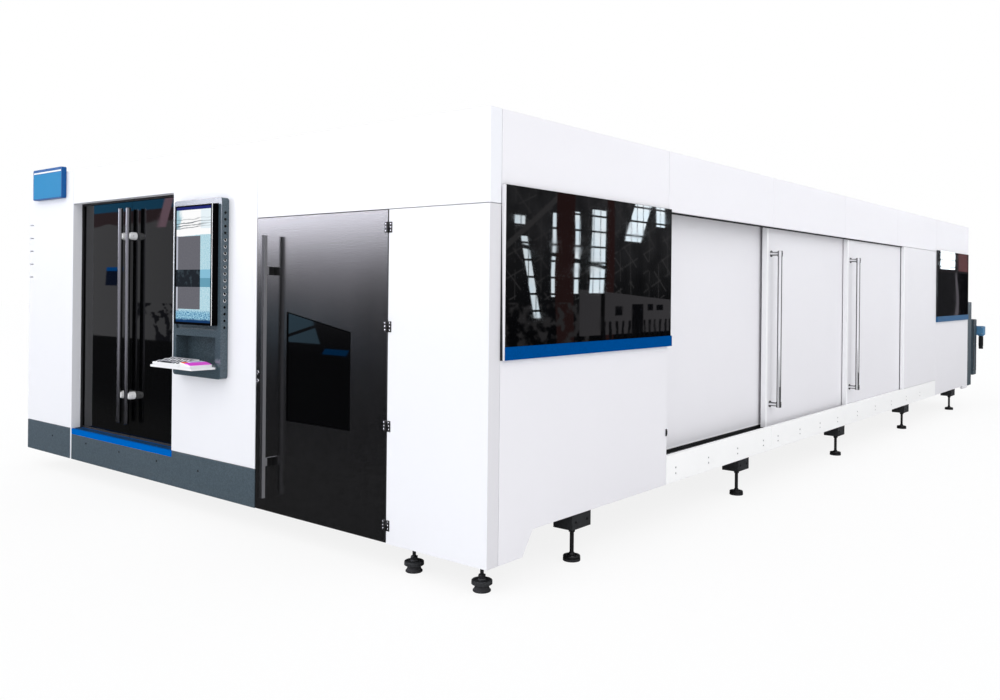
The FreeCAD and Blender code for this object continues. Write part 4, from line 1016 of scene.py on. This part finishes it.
class MACHINE_OT_windows(Step):
    """Window panes with black edge seals and the blue bars below"""
    bl_idname = "machine.windows"
    bl_label = "Side windows"

    def build(self, detail):
        for node in ("near_window", "far_window"):
            dressed(node, "black_glass", "black_glass", edge=0.0012)
        low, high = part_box("near_window")
        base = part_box("window_strips")[0].z
        strips = Piece("window_strips_dressed", "blue", "strip_far")
        strips.node("window_strips", 0.0025)
        for face in strips.bm.faces:
            if face.calc_center_median().y > 0:
                face.material_index = 1
        for vert in strips.bm.verts:
            if vert.co.y < low.y + 0.005:
                vert.co.y += 0.0135
        strips.done("blue", "window_strips")
        edge = Piece("near_window_edge", "side_white", "gasket")
        edge.slab((low.x, low.y - 0.0008, base),
                  (high.x + 0.0008, low.y + 0.0140, high.z - 0.001), 0.0006)
        gap = edge.slab((low.x - 0.001, low.y - 0.0016, base),
                        (high.x + 0.0004, low.y + 0.001, high.z - 0.10), 0, 1)
        for vert in {vert for face in gap for vert in face.verts}:
            if vert.co.z > base + 0.1 and vert.co.x > low.x + 0.005:
                vert.co.x = low.x + 0.001
        edge.done("side_white")


class MACHINE_OT_side_doors(Step):
    """Sliding doors' seals, white edge trims that are a painted highlight, black strips of
    painted shade under the header and at the fixed panel's foot, pull handles and latch
    """
    bl_idname = "machine.side_doors"
    bl_label = "Sliding doors"

    HEAD_SHADOW_SPAN = (1676, 6631)
    LATCH = (1657, 0, 565)
    TUBE_RADIUS, COLLAR_RADIUS = 0.0165, 0.0195

    def build(self, detail):
        for node in ("side_door_middle", "side_door_rear"):
            low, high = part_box(node)
            # black seal behind each door's leading edge; it also darkens the gap beside it as
            # painted shade
            strip(node + "_seal", "gasket", node, "black_paint",
                  (low.x - 0.0015, low.y + 0.004, low.z + 0.004),
                  (low.x + 0.001, low.y + 0.016, high.z - 0.004), 0.0006)
            self.trim(node, node, 0.0022, 0.030, 0.0008)
        self.trim("rear_side_panel", "enclosure", 0.0015, 0.024, 0.0006)
        # the black strip at the fixed panel's foot is painted shadow of the gap over the rail,
        # and the white strip above it a painted highlight
        low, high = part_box("fixed_side_panel")
        foot = Piece("fixed_panel_foot_shadow_and_highlight", "gasket", "edge_painted_highlight")
        for start, end, tone in ((0.0, 0.014, 0), (0.014, 0.024, 1)):
            foot.slab((high.x - 0.001, low.y + 0.002, low.z + start),
                      (high.x + 0.0012, high.y - 0.002, low.z + end), 0.0004, tone, 1)
        foot.done("side_white")
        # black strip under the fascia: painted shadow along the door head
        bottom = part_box("fascia_side_2")[0].z * 1000
        start, end = self.HEAD_SHADOW_SPAN
        strip("door_head_shadow_strip", "gasket", "enclosure", "black_paint",
              flank(start, 20, bottom + 2), flank(end, 29, bottom - 10), 0.001)
        for place in ("middle", "rear"):
            self.handle("side_handle_" + place, "chrome_with_painted_reflection_" + place)
        self.latch()

    def trim(self, node, body, proud, width, edge):
        """White return along a panel's leading edge, in a lighter white than the panel as a
        painted highlight of the lit edge.
        """
        low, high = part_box(node)
        strip(node + "_trim", "edge_painted_highlight", body, "side_white",
              (high.x - 0.002, low.y - 0.0008, low.z + 0.001),
              (high.x + proud, low.y + width, high.z - 0.001), edge)

    def handle(self, node, material):
        """Chrome tube with flanges, elbow collars and end caps."""
        low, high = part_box(node)
        radius, collar = self.TUBE_RADIUS, self.COLLAR_RADIUS
        x, y = high.x - 0.0155, (low.y + high.y) / 2
        reach = x - low.x
        base, length = low.z - 0.006, high.z - low.z + 0.012
        pull = Piece(node + "_dressed", material, "bezel")
        half = [(0, 0), (0, collar - 0.004), (0.002, collar - 0.0012), (0.004, collar),
                (0.044, collar), (0.0455, collar - 0.001), (0.0455, radius - 0.002),
                (0.0475, radius - 0.002), (0.048, radius)]
        pull.lathe((x, y, base), mirrored(half, length), steps=36)
        for z in (base + 0.022, base + length - 0.022):
            pull.lathe((low.x, y, z), [
                (0, 0.0), (0, 0.0245), (0.004, 0.0245), (0.006, 0.0225), (0.006, 0.0165),
                (0.009, 0.0155), (reach - 0.012, 0.0155), (reach - 0.006, 0.0170),
                (reach, 0.0170), (reach, 0.0)], axis=OUT_SIDE)
            pull.lathe((x + collar - 0.0008, y, z), [
                (0, 0.0058), (0.0008, 0.0055), (0.0008, 0.0032), (-0.001, 0.003),
                (-0.001, 0)], 1, 16, OUT_SIDE)
        pull.done("chrome", node)

    def latch(self):
        """Small catch at the edge of the panel beside the first leaf."""
        latch = Piece("panel_latch", "chrome", "gasket")
        centre = flank(*self.LATCH)
        for first, second, edge, tone in (
                ((0, -0.010, -0.022), (0.006, 0.010, 0.022), 0.002, 0),
                ((0.005, -0.004, -0.012), (0.011, 0.004, 0.012), 0.0015, 1)):
            latch.slab(centre + Vector(first), centre + Vector(second), edge, tone)
        latch.done("chrome")


# -------- feet

class MACHINE_OT_feet(Step):
    """Levelling feet with pads, lock nuts and studs"""
    bl_idname = "machine.feet"
    bl_label = "Levelling feet"

    STATIONS = [CORNER.y + (748 + 2008 * number) / 1000 for number in range(5)]
    BRACKET_INSET, BRACKET_SHIFT = 0.046, 0.036
    BOLT_SPREAD, BOLT_HEIGHT = 0.052, 0.208
    HEAVY_FEET, HEAVY_DEPTH = (90, 534), 75

    def build(self, detail):
        self.slim()
        self.heavy()
        self.bracket_bolts()

    def slim(self):
        """Ten feet with a pad, a thin stud and a lock nut under the bracket."""
        low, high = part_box("levelling_feet")
        feet = Piece("levelling_feet_dressed", "black_paint", "rubber", "machined")
        for x in (low.x + self.BRACKET_INSET, high.x - self.BRACKET_INSET):
            for y in self.STATIONS:
                for z, tone, profile in (
                        (0, 1, [(0, 0), (0, 0.045), (0.001, 0.046), (0.013, 0.046),
                                (0.014, 0.044)]),
                        (0.0135, 0, [(0, 0.045), (0.010, 0.0458), (0.0145, 0.043)]),
                        (0.0280, 2, [(0, 0.043), (0.0030, 0.030)]),
                        (0.0310, 0, [(0, 0.030), (0.0003, 0.016), (0.0108, 0.0145),
                                     (0.0128, 0.0115)])):
                    feet.lathe((x, y, z), profile, tone, 28)
                feet.stud((x, y, 0.036), high.z - 0.0365, 0.0112, 0)
                feet.nut((x, y, high.z - 0.0185), 0.013, 0)
        feet.done("dark_steel", "levelling_feet", angle=30)

    def heavy(self):
        """Two front feet: a waisted rubber base under a grooved disc."""
        feet = Piece("front_feet_dressed", "dark_steel", "rubber", "motor_black")
        for s in self.HEAVY_FEET:
            x, y, _ = front(s, self.HEAVY_DEPTH, 0)
            feet.lathe((x, y, 0), [
                (0, 0), (0, 0.041), (0.002, 0.043), (0.007, 0.043), (0.012, 0.038),
                (0.020, 0.0345), (0.034, 0.034)], 1, 36)
            feet.lathe((x, y, 0.034), [
                (0, 0.033), (0, 0.048), (0.0015, 0.0498), (0.0085, 0.0498),
                (0.0095, 0.0485), (0.0105, 0.0485), (0.0115, 0.0498), (0.018, 0.0492),
                (0.0205, 0.046), (0.0210, 0.020), (0.028, 0.018), (0.030, 0.009)], 0, 36)
            feet.stud((x, y, 0.060), 0.0735, 0.0090, 2)
            for z in (0.064, 0.117):
                feet.nut((x, y, z), 0.014, 2)
        feet.done("dark_steel", "front_feet", angle=30)

    def bracket_bolts(self):
        """Bolts on the foot brackets' outer faces."""
        bolts = Piece("bracket_bolts", "motor_black")
        low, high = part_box("base_frame")
        for station in self.STATIONS:
            for shift in (-self.BOLT_SPREAD, self.BOLT_SPREAD):
                y = station + self.BRACKET_SHIFT + shift
                for x, way in ((high.x, 1), (low.x, -1)):
                    bolts.screw((x, y, self.BOLT_HEIGHT), (way, 0, 0), 0.0085)
        bolts.done("dark_steel")


# -------- lift drive at the far end

class MACHINE_OT_lift_drive(Step):
    """Drive at the far end: columns, gearbox and finned motor"""
    bl_idname = "machine.lift_drive"
    bl_label = "Lift drive"

    GEARBOX_FOOT, FIN_REACH = 0.862, 0.0262
    NEAR_COLUMN, FAR_COLUMN = (0.270, 1.296), (0.172, 1.069)
    STRIP_WIDTH, STRIP_FOOT, STRIP_TOP = 0.034, 0.40, 1.068
    COLUMN_SCREWS = (0.43, 0.75, 1.0)

    def build(self, detail):
        dressed("drive_frame", "slate", "slate", edge=0.003)
        self.motor(detail.fins)
        self.columns()

    def motor(self, fins):
        """Gearbox, its flange below and the finned motor."""
        low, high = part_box("lift_motor")
        foot = self.GEARBOX_FOOT
        drive = Piece("lift_motor_dressed", "gear_blue", "motor_black", "screw_steel")
        drive.slab((low.x, low.y, foot), high, 0.010, 0, 4)
        drive.slab((low.x + 0.012, low.y + 0.010, high.z - 0.002),
                   (high.x - 0.012, high.y - 0.010, high.z), 0.0008)
        x, y = high.x - 0.042, (low.y + high.y) / 2
        drive.lathe((x, y, foot + 0.004), [
            (0, 0), (0, 0.036), (0.012, 0.036), (0.014, 0.034), (0.014, 0.024)], axis=DOWN)
        drive.lathe((x, y, low.z), [
            (0, 0), (0, 0.022), (0.003, 0.026), (0.030, 0.0268), (0.032, 0.0245),
            (0.166, 0.0245), (0.168, 0.0275), (0.176, 0.0275), (0.176, 0)], 1)
        for number in range(fins):
            turn = math.tau * number / fins
            fin = Vector((x + math.cos(turn) * self.FIN_REACH,
                          y + math.sin(turn) * self.FIN_REACH, low.z))
            drive.bar(fin + Vector((0, 0, 0.036)), fin + Vector((0, 0, 0.162)), 0.0026, 1, 8,
                      0.0008)
        for x in (low.x + 0.018, high.x - 0.018):
            for z in (foot + 0.018, high.z - 0.018):
                drive.screw((x, low.y, z), OUT_FRONT, 0.006, 2)
                drive.screw((x, high.y - 0.003, z), (0, 1, 0), 0.006, 2)
        drive.done("blue", "lift_motor")

    def columns(self):
        """Caps, two dark cover strips and screws of the columns."""
        low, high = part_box("drive_frame")
        caps = Piece("drive_column_caps", "black_paint", "screw_steel")
        near, near_top = self.NEAR_COLUMN
        far, far_top = self.FAR_COLUMN
        for y0, y1, z in ((low.y, low.y + near, near_top), (high.y - far, high.y, far_top)):
            caps.slab((low.x + 0.004, y0 + 0.004, z - 0.001),
                      (high.x - 0.004, y1 - 0.004, z + 0.004), 0.0015)
        for y in (high.y - far, high.y - self.STRIP_WIDTH):
            caps.slab((high.x - 0.001, y, self.STRIP_FOOT),
                      (high.x + 0.0015, y + self.STRIP_WIDTH, self.STRIP_TOP), 0.0008)
        for z in self.COLUMN_SCREWS:
            for y in (high.y - 0.150, high.y - 0.022):
                caps.screw((high.x, y, z), OUT_SIDE, 0.0075, 1)
        caps.done("dark_steel")


# -------- inside of the machine

class MACHINE_OT_inside(Step):
    """Bed, gantry, head, laser source, lift and the control cabinet's rows of drives"""
    bl_idname = "machine.inside"
    bl_label = "Inside"

    RAIL_BOLTS, RAIL_PITCH = 28, 0.1215
    PLATE_DEPTH = 569
    DRIVES, FIRST_DRIVE, DRIVE_PITCH, DRIVE_WIDTH = 6, 702, 155, 110
    DRIVE_ROWS = (0.528, 1.144)
    TERMINALS, FINS = 7, 9
    DUCT_END, DUCT_SLOTS = 1665, 42

    def build(self, detail):
        self.head()
        self.gantry()
        self.controls()
        for node, material in (("machine_bed", "frame_grey"), ("laser_source", "cabinet_grey")):
            dressed(node, material, material, edge=0.004)
        self.lift()

    def head(self):
        """Cutting head: housing, cover, adjusting ring, brass nozzle and its ceramic seat."""
        low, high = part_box("cutting_head")
        half, tip, body = 0.042, low.z, low.z + 0.070
        x, y = (low.x + high.x) / 2, high.y - 0.024 - half
        head = Piece("cutting_head_dressed", "frame_grey", "machined", "brass", "bezel")
        head.slab((x - half, y - half, body + 0.040), (x + half, y + half, high.z), 0.006, 0, 3)
        head.slab((x - half * 0.8, y + half - 0.001, body + 0.0165),
                  (x + half * 0.8, high.y, body + 0.1815), 0.002, 1)
        head.lathe((x, y, tip), [(0, 0.0042), (0.012, 0.010), (0.018, 0.010), (0.018, 0.014)], 2)
        head.lathe((x, y, tip), [
            (0.018, 0.013), (0.034, 0.017), (0.040, 0.025), (0.060, 0.029),
            (0.070, 0.036), (0.098, 0.036), (0.100, 0.034), (0.112, 0.034)], 1, 40)
        head.lathe((x, y, tip + 0.078), [(0, 0.036), (0, 0.0385), (0.012, 0.0385),
                                         (0.012, 0.036)], 3, 24)
        for across in (-0.03, 0.03):
            for z in (body + 0.06, high.z - 0.014):
                head.screw((x + across, y - half, z), OUT_FRONT, 0.0045, 1)
        head.done("bare_steel", "cutting_head")

    def gantry(self):
        """Beam and carriage, and the screws of the guide rails."""
        dressed("gantry_beam", "panel_white", "frame_grey", edge=0.003)
        dressed("carriage", "frame_grey", "frame_grey", edge=0.004)
        rails = Piece("gantry_rail_screws", "screw_steel")
        low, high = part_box("gantry_rails")
        for x in (low.x + 0.017, high.x - 0.017):
            for number in range(self.RAIL_BOLTS):
                rails.screw((x, low.y + 0.06 + self.RAIL_PITCH * number, high.z), UP, 0.006,
                            0, 8)
        rails.done("bare_steel")

    def controls(self):
        """Fittings on the cabinet's mounting plate: drives with terminals, slotted ducts."""
        cabinet = Piece("control_cabinet_fittings", "drive_plastic", "indicator", "brass",
                        "duct_plastic", "bezel")
        for z in self.DRIVE_ROWS:
            for number in range(self.DRIVES):
                s = self.FIRST_DRIVE + self.DRIVE_PITCH * number
                self.drive(cabinet, front(s + self.DRIVE_WIDTH, 0, 0).x, front(s, 0, 0).x, z)
        start, end = front(self.DUCT_END, self.PLATE_DEPTH, 0), front(self.FIRST_DRIVE, 0, 0)
        for z in self.DRIVE_ROWS:
            for number in range(self.DUCT_SLOTS):
                x = start.x + 0.008 + (end.x - start.x - 0.016) * number / self.DUCT_SLOTS
                for level in (z + 0.374, z + 0.414):
                    cabinet.slab((x, start.y - 0.0815, level),
                                 (x + 0.012, start.y - 0.079, level + 0.012), 0.0005, 3, 1)
        cabinet.done("cabinet_grey")

    def drive(self, cabinet, left, right, z):
        """Front of one drive: panel, display, terminals with screws and cooling ribs."""
        face = front(0, self.PLATE_DEPTH - 210, 0).y

        def block(x0, x1, proud, sunk, z0, z1, edge, tone, segments=2):
            cabinet.slab((x0, face - proud, z + z0), (x1, face + sunk, z + z1), edge, tone,
                         segments)

        block(left + 0.008, right - 0.008, 0.003, 0.001, 0.246, 0.312, 0.001, 4)
        block(left + 0.016, right - 0.040, 0.004, -0.002, 0.268, 0.296, 0.0006, 1)
        for number in range(self.TERMINALS):
            x = left + 0.012 + 0.0135 * number
            block(x, x + 0.010, 0.007, 0.001, 0.012, 0.036, 0.001, 3, 1)
            cabinet.screw((x + 0.005, face - 0.007, z + 0.024), OUT_FRONT, 0.0032, 2, 8)
        for number in range(self.FINS):
            rise = 0.019 * number
            block(left + 0.010, right - 0.010, 0.002, 0.001, 0.060 + rise, 0.068 + rise,
                  0.0008, 0, 1)

    def lift(self):
        """Lift with rounded edges, its ledges eased clear of the work pallet."""
        lift = Piece("exchange_lift_dressed", "frame_grey")
        lift.node("exchange_lift", 0.004)
        rest = min(vert.co.z for vert in frame["nodes"]["work_pallet"].data.vertices)
        for vert in lift.bm.verts:
            if abs(vert.co.z - rest) < 0.0005:
                vert.co.z -= 0.0008
        lift.done("frame_grey", "exchange_lift")


# -------- stage

def stage_plane(name, corners, material, seen=False):
    """Flat card of the studio, given by three corners. Unless it is seen, only glossy
    surfaces show it."""
    first, second, third = map(Vector, corners)
    bm = bmesh.new()
    made = bmesh.ops.create_grid(bm, x_segments=1, y_segments=1, size=0.5)["verts"]
    along, up = second - first, third - first
    shape = Matrix((along, up, along.cross(up).normalized())).transposed().to_4x4()
    shape.translation = first + (along + up) / 2
    bmesh.ops.transform(bm, matrix=shape, verts=made)
    mesh = bpy.data.meshes.new(name)
    bm.to_mesh(mesh)
    bm.free()
    mesh.materials.append(material)
    card = add_object(name, mesh)
    card.visible_camera = card.visible_diffuse = seen
    card.visible_shadow = False


def hall_front(paint):
    """Wall before the machine's front: grey band, pink and blue above, glare at the right."""
    x, _, z = paint.axes()
    edge = z + (paint.noise(0.9, 3.0) - 0.5) * 0.35
    sheet = paint.patch((x - z * 0.16, -19.36, -18.5), (z, 1.39, 1.88))
    beam = paint.patch((x - z * 0.45, -17.75, -17.35)) * (z > 2.9)
    bench = (paint.noise(1.1, 4.0, (1, 1, 1.6)) > 0.50) * (z < 0.95) * (x > -17.6)
    sash = (paint.patch((x + z * 0.5, -10.9, -9.7), (z, 0.22, 0.95))
            * (abs(z - x * 0.25 - 3.08) > 0.035)
            + paint.patch((x - z * 0.8, -9.75, -9.0), (z, 0.01, 0.13)))
    tone = paint.layers(
        (0.31, 0.31, 0.325), (edge > 3.05, (0.15, 0.10, 0.11)), (z > 3.38, (0.055, 0.30, 0.58)),
        (sheet, (0.02, 0.035, 0.09)), (sheet * (z > 1.78), (0.0, 0.25, 0.95)),
        (beam, (0.95, 0.60, 0.75)), (bench * (x < -15.3), (0.04, 0.04, 0.05)),
        (x > -15.3, (0.91, 0.90, 1.0)), (sash, (0.40, 0.70, 0.95)),
        (sash * (z < 0.14), (0.0, 0.30, 0.95)))
    glare = (z * 1.9 - 3.30).exp().least(11.0)
    return tone, ((x < -15.3) * 1.53 + paint.patch((x, -15.3, -6.0)) * glare + sash * 0.9
                  + (x > -6.0) * 1.5)


def hall_side(paint):
    """Wall beside the long side: trusses, columns, windows and a pale wall with openings."""
    _, y, z = paint.axes()
    t = y - CORNER.y
    bow = t + (paint.noise(0.6, 1.0) - 0.5) * 0.22
    soft = paint.noise(2.2, 4.0)
    truss = paint.patches((((t * 0.9 + z * 1.1) % 0.62, 0.0, 0.035),),
                          (((z * 1.3 - t * 0.5) % 0.55, 0.0, 0.030),),
                          ((t % 0.41, 0.0, 0.02),)) * (soft > 0.48)
    boom = paint.patch((z - t * 0.616, -3.78, -3.64)) * (t < 12.6)
    far = t > 40.0
    ground, sky = -1.0, 99.0
    clutter = paint.ramp(paint.noise(3.2, 5.0, (1, 1, 1.4)), 0.47, 0.60)
    wall = paint.patch((t, 12.05, 17.0)) * (z < (t * -0.06 + 2.14)) * (z > 0.46)
    hole = paint.patches(
        ((t, 13.35, 13.62), (z, 0.86, 1.06)), ((t, 14.0, 14.5), (z, ground, 1.10)),
        ((t, 14.7, 14.95), (z, 0.95, 1.10)), ((t, 15.1, 15.4), (z, 0.95, 1.08)))
    fence = paint.patch(((t * 4.3 + soft) % 1.0, 0.0, 0.42), (t, 12.9, 17.0))
    panes = paint.patches(
        ((t + z * 0.29, 10.71, 10.91), (z, 0.85, 2.4)), ((t, 9.82, 10.14), (z, 2.58, 2.78)),
        ((bow, 11.03, 11.16), (z, 1.26, 2.9)), ((bow, 11.86, 12.04), (z, 1.30, 2.97)),
        ((bow, 12.45, 12.95), (z, 1.34, 3.06)), ((t - z * 0.55, 12.37, 13.04), (z, 2.47, sky)),
        ((t, 15.08, 15.46), (z, 2.86, sky)), ((t, 41.0, 43.5), (z, 2.50, sky)))
    bars = paint.patches((((z * 3.1) % 1.0, 0.0, 0.13),), (((t * 4.0) % 1.0, 0.0, 0.10),),
                         ((z + t * 0.12, 3.38, 3.46),))
    light = paint.node("ShaderNodeClamp", {}, {0: panes * (1.0 - bars)})
    tone = paint.layers(
        (0.012, 0.012, 0.014), (soft * paint.ramp(z, 0.4, 3.4), (0.36, 0.36, 0.38)),
        ((truss + boom) * (z > 1.2), (0.34, 0.33, 0.34)),
        (paint.patches(((bow, 11.17, 11.86),), ((bow, 13.02, 13.3),)), (0.17, 0.075, 0.07)),
        (far, paint.mix(soft * (t < 43.65), (0.010, 0.010, 0.012), (0.06, 0.06, 0.065))),
        (far * ((z > 2.36) + (z < 0.36) * (t < 44.2)), (0.06, 0.055, 0.06)),
        (paint.patch((t, 44.4, 46.4)) * (z > 2.46), (0.36, 0.16, 0.17)),
        (paint.patch((t, 43.65, 44.05), (z, 0.36, 2.36)), (0.30, 0.28, 0.32)),
        (clutter * (z < 1.15) * (t < 12.4), (0.26, 0.25, 0.26)),
        (wall, (0.36, 0.345, 0.37)), (wall * paint.patch((t, 12.82, 12.97)), (0.02, 0.02, 0.02)),
        (hole * wall, (0.02, 0.02, 0.025)), (fence * (z < 0.74), (0.03, 0.03, 0.035)),
        (light, paint.mix(soft, (0.66, 0.86, 1.0), WHITE)),
        ((t < 4.4) + paint.patch((t, 18.5, 38.5)), (0.96, 0.97, 1.0)))
    return tone, light * 10.0 + 1.0


def emission(paint, tone, strength=1.0):
    """Wire of an Emission shader."""
    return paint.node("ShaderNodeEmission", {}, {"Color": tone, "Strength": strength})


class MACHINE_OT_stage(Step):
    """Floor, reflection walls, lights and camera"""
    bl_idname = "machine.stage"
    bl_label = "Stage"

    FLOOR_REACH, HALL_FRONT, HALL_SIDE, HALL_HEIGHT = 60, -14, 10, 9
    SENSOR, SHIFT, EYE = 36.0, -0.0617, (2.6285, -3.1427, 1.4174)

    def build(self, detail):
        studio = bpy.context.scene.machine_studio
        self.world(studio)
        self.floor(studio)
        self.walls()
        self.lights(studio)
        self.camera(studio)

    def world(self, studio):
        """White to the camera, soft and even to the machine."""
        world = bpy.data.worlds.new("studio_air")
        bpy.context.scene.world = world
        world.use_nodes = True
        tree = world.node_tree
        tree.nodes.clear()
        path, seen, light, mixed, out = (tree.nodes.new("ShaderNode" + kind) for kind in (
            "LightPath", "Background", "Background", "MixShader", "OutputWorld"))
        for background, tone, power in ((seen, WHITE, 1.0),
                                        (light, (0.975, 0.985, 1.0), studio.ambient)):
            background.inputs["Color"].default_value = opaque(tone)
            background.inputs["Strength"].default_value = power
        for source, target in ((path.outputs["Is Camera Ray"], mixed.inputs[0]),
                               (light.outputs[0], mixed.inputs[1]),
                               (seen.outputs[0], mixed.inputs[2]),
                               (mixed.outputs[0], out.inputs["Surface"])):
            tree.links.new(source, target)

    def floor(self, studio):
        """Pale floor that fades to the background's white and keeps a soft shadow."""
        paint = Paint("floor")
        cloud = paint.noise(0.6, 3.0)
        paint.feed(Base_Color=paint.mix(cloud * 0.3, studio.floor, shade(studio.floor, 0.97)),
                   Roughness=cloud * 0.1 + 0.8)
        camera_ray, glossy_ray = (paint.node("ShaderNodeLightPath", output="Is %s Ray" % kind)
                                  for kind in ("Camera", "Glossy"))
        plain = paint.node("ShaderNodeMixShader", {}, {
            0: camera_ray * 0.86, 1: Wire(paint, paint.shader.outputs[0]),
            2: emission(paint, opaque(WHITE))})
        near = paint.ramp(paint.axes()[1], -7.9, -6.2)
        dim = emission(paint, paint.mix(near, (0.03, 0.03, 0.032), (0.06, 0.06, 0.06)))
        paint.surface(paint.node("ShaderNodeMixShader", {}, {0: glossy_ray, 1: plain, 2: dim}))
        reach = self.FLOOR_REACH
        stage_plane("floor", ((-reach, -reach, 0), (reach, -reach, 0), (-reach, reach, 0)),
                    paint.material, seen=True)

    def walls(self):
        """Two lit hall walls that only glossy surfaces see."""
        x, y, height = self.HALL_SIDE, self.HALL_FRONT, self.HALL_HEIGHT
        for name, build, corners in (
                ("front", hall_front, ((-45, y, 0), (45, y, 0), (-45, y, height))),
                ("side", hall_side, ((x, y, 0), (x, 60, 0), (x, y, height)))):
            paint = Paint("hall_" + name)
            paint.tree.nodes.remove(paint.shader)
            paint.surface(emission(paint, *build(paint)))
            stage_plane("hall_wall_" + name, corners, paint.material)

    def lights(self, studio):
        """Soft key on the front and a weaker fill on the long side."""
        for name, energy, heading, height, size in (
                ("key_light", studio.key, -18, 38, 40), ("fill_light", studio.fill, 62, 40, 50)):
            lamp = bpy.data.lights.new(name, "SUN")
            lamp.energy = energy
            lamp.angle = math.radians(size)
            lamp.color = (1.0, 0.995, 0.99)
            heading, height = math.radians(heading), math.radians(height)
            way = Vector((math.sin(heading) * math.cos(height),
                          -math.cos(heading) * math.cos(height), math.sin(height)))
            holder = add_object(name, lamp)
            holder.rotation_euler = way.to_track_quat("Z", "Y").to_euler()
            holder.visible_glossy = False

    def camera(self, studio):
        """Camera at the photograph's height and angle."""
        data = bpy.data.cameras.new("camera")
        data.lens = studio.lens
        data.sensor_width = self.SENSOR
        data.shift_y = self.SHIFT
        data.clip_end = 300.0
        holder = add_object("camera", data)
        holder.location = CORNER + Vector(self.EYE)
        turns = ((studio.heading, "Z"), (math.pi / 2, "X"), (studio.roll, "Z"))
        turn = reduce(lambda first, second: first @ second,
                      [Matrix.Rotation(angle, 4, axis) for angle, axis in turns])
        holder.rotation_euler = turn.to_euler()
        bpy.context.scene.camera = holder
        bpy.context.scene.view_settings.view_transform = "Standard"


# -------- add-on

STEPS = (MACHINE_OT_finishes, MACHINE_OT_panels, MACHINE_OT_cabinet_door,
         MACHINE_OT_glass_doors, MACHINE_OT_console, MACHINE_OT_keyboard, MACHINE_OT_sign,
         MACHINE_OT_windows, MACHINE_OT_side_doors, MACHINE_OT_feet, MACHINE_OT_lift_drive,
         MACHINE_OT_inside, MACHINE_OT_stage)
SETTINGS = {"machine_finish": FinishSettings, "machine_detail": DetailSettings,
            "machine_studio": StudioSettings}


class MACHINE_PT_sidebar(bpy.types.Panel):
    """Lists the machine's settings and steps."""
    bl_idname = "MACHINE_PT_sidebar"
    bl_label = "Laser Cutter"
    bl_space_type = "VIEW_3D"
    bl_region_type = "UI"
    bl_category = "Laser Cutter"

    def draw(self, context):
        for setting in SETTINGS:
            group = getattr(context.scene, setting)
            box = self.layout.box()
            for name in group.bl_rna.properties.keys():
                if name not in ("name", "rna_type"):
                    box.prop(group, name)
        for step in STEPS:
            self.layout.operator(step.bl_idname)


CLASSES = (*SETTINGS.values(), *STEPS, MACHINE_PT_sidebar)


def register():
    for item in CLASSES:
        bpy.utils.register_class(item)
    for name, group in SETTINGS.items():
        setattr(bpy.types.Scene, name, PointerProperty(type=group))


def unregister():
    for name in SETTINGS:
        delattr(bpy.types.Scene, name)
    for item in reversed(CLASSES):
        bpy.utils.unregister_class(item)


def main():
    """Registers the add-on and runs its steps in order."""
    register()
    for step in STEPS:
        getattr(bpy.ops.machine, step.bl_idname.split(".")[1])()


if __name__ == "__main__":
    main()
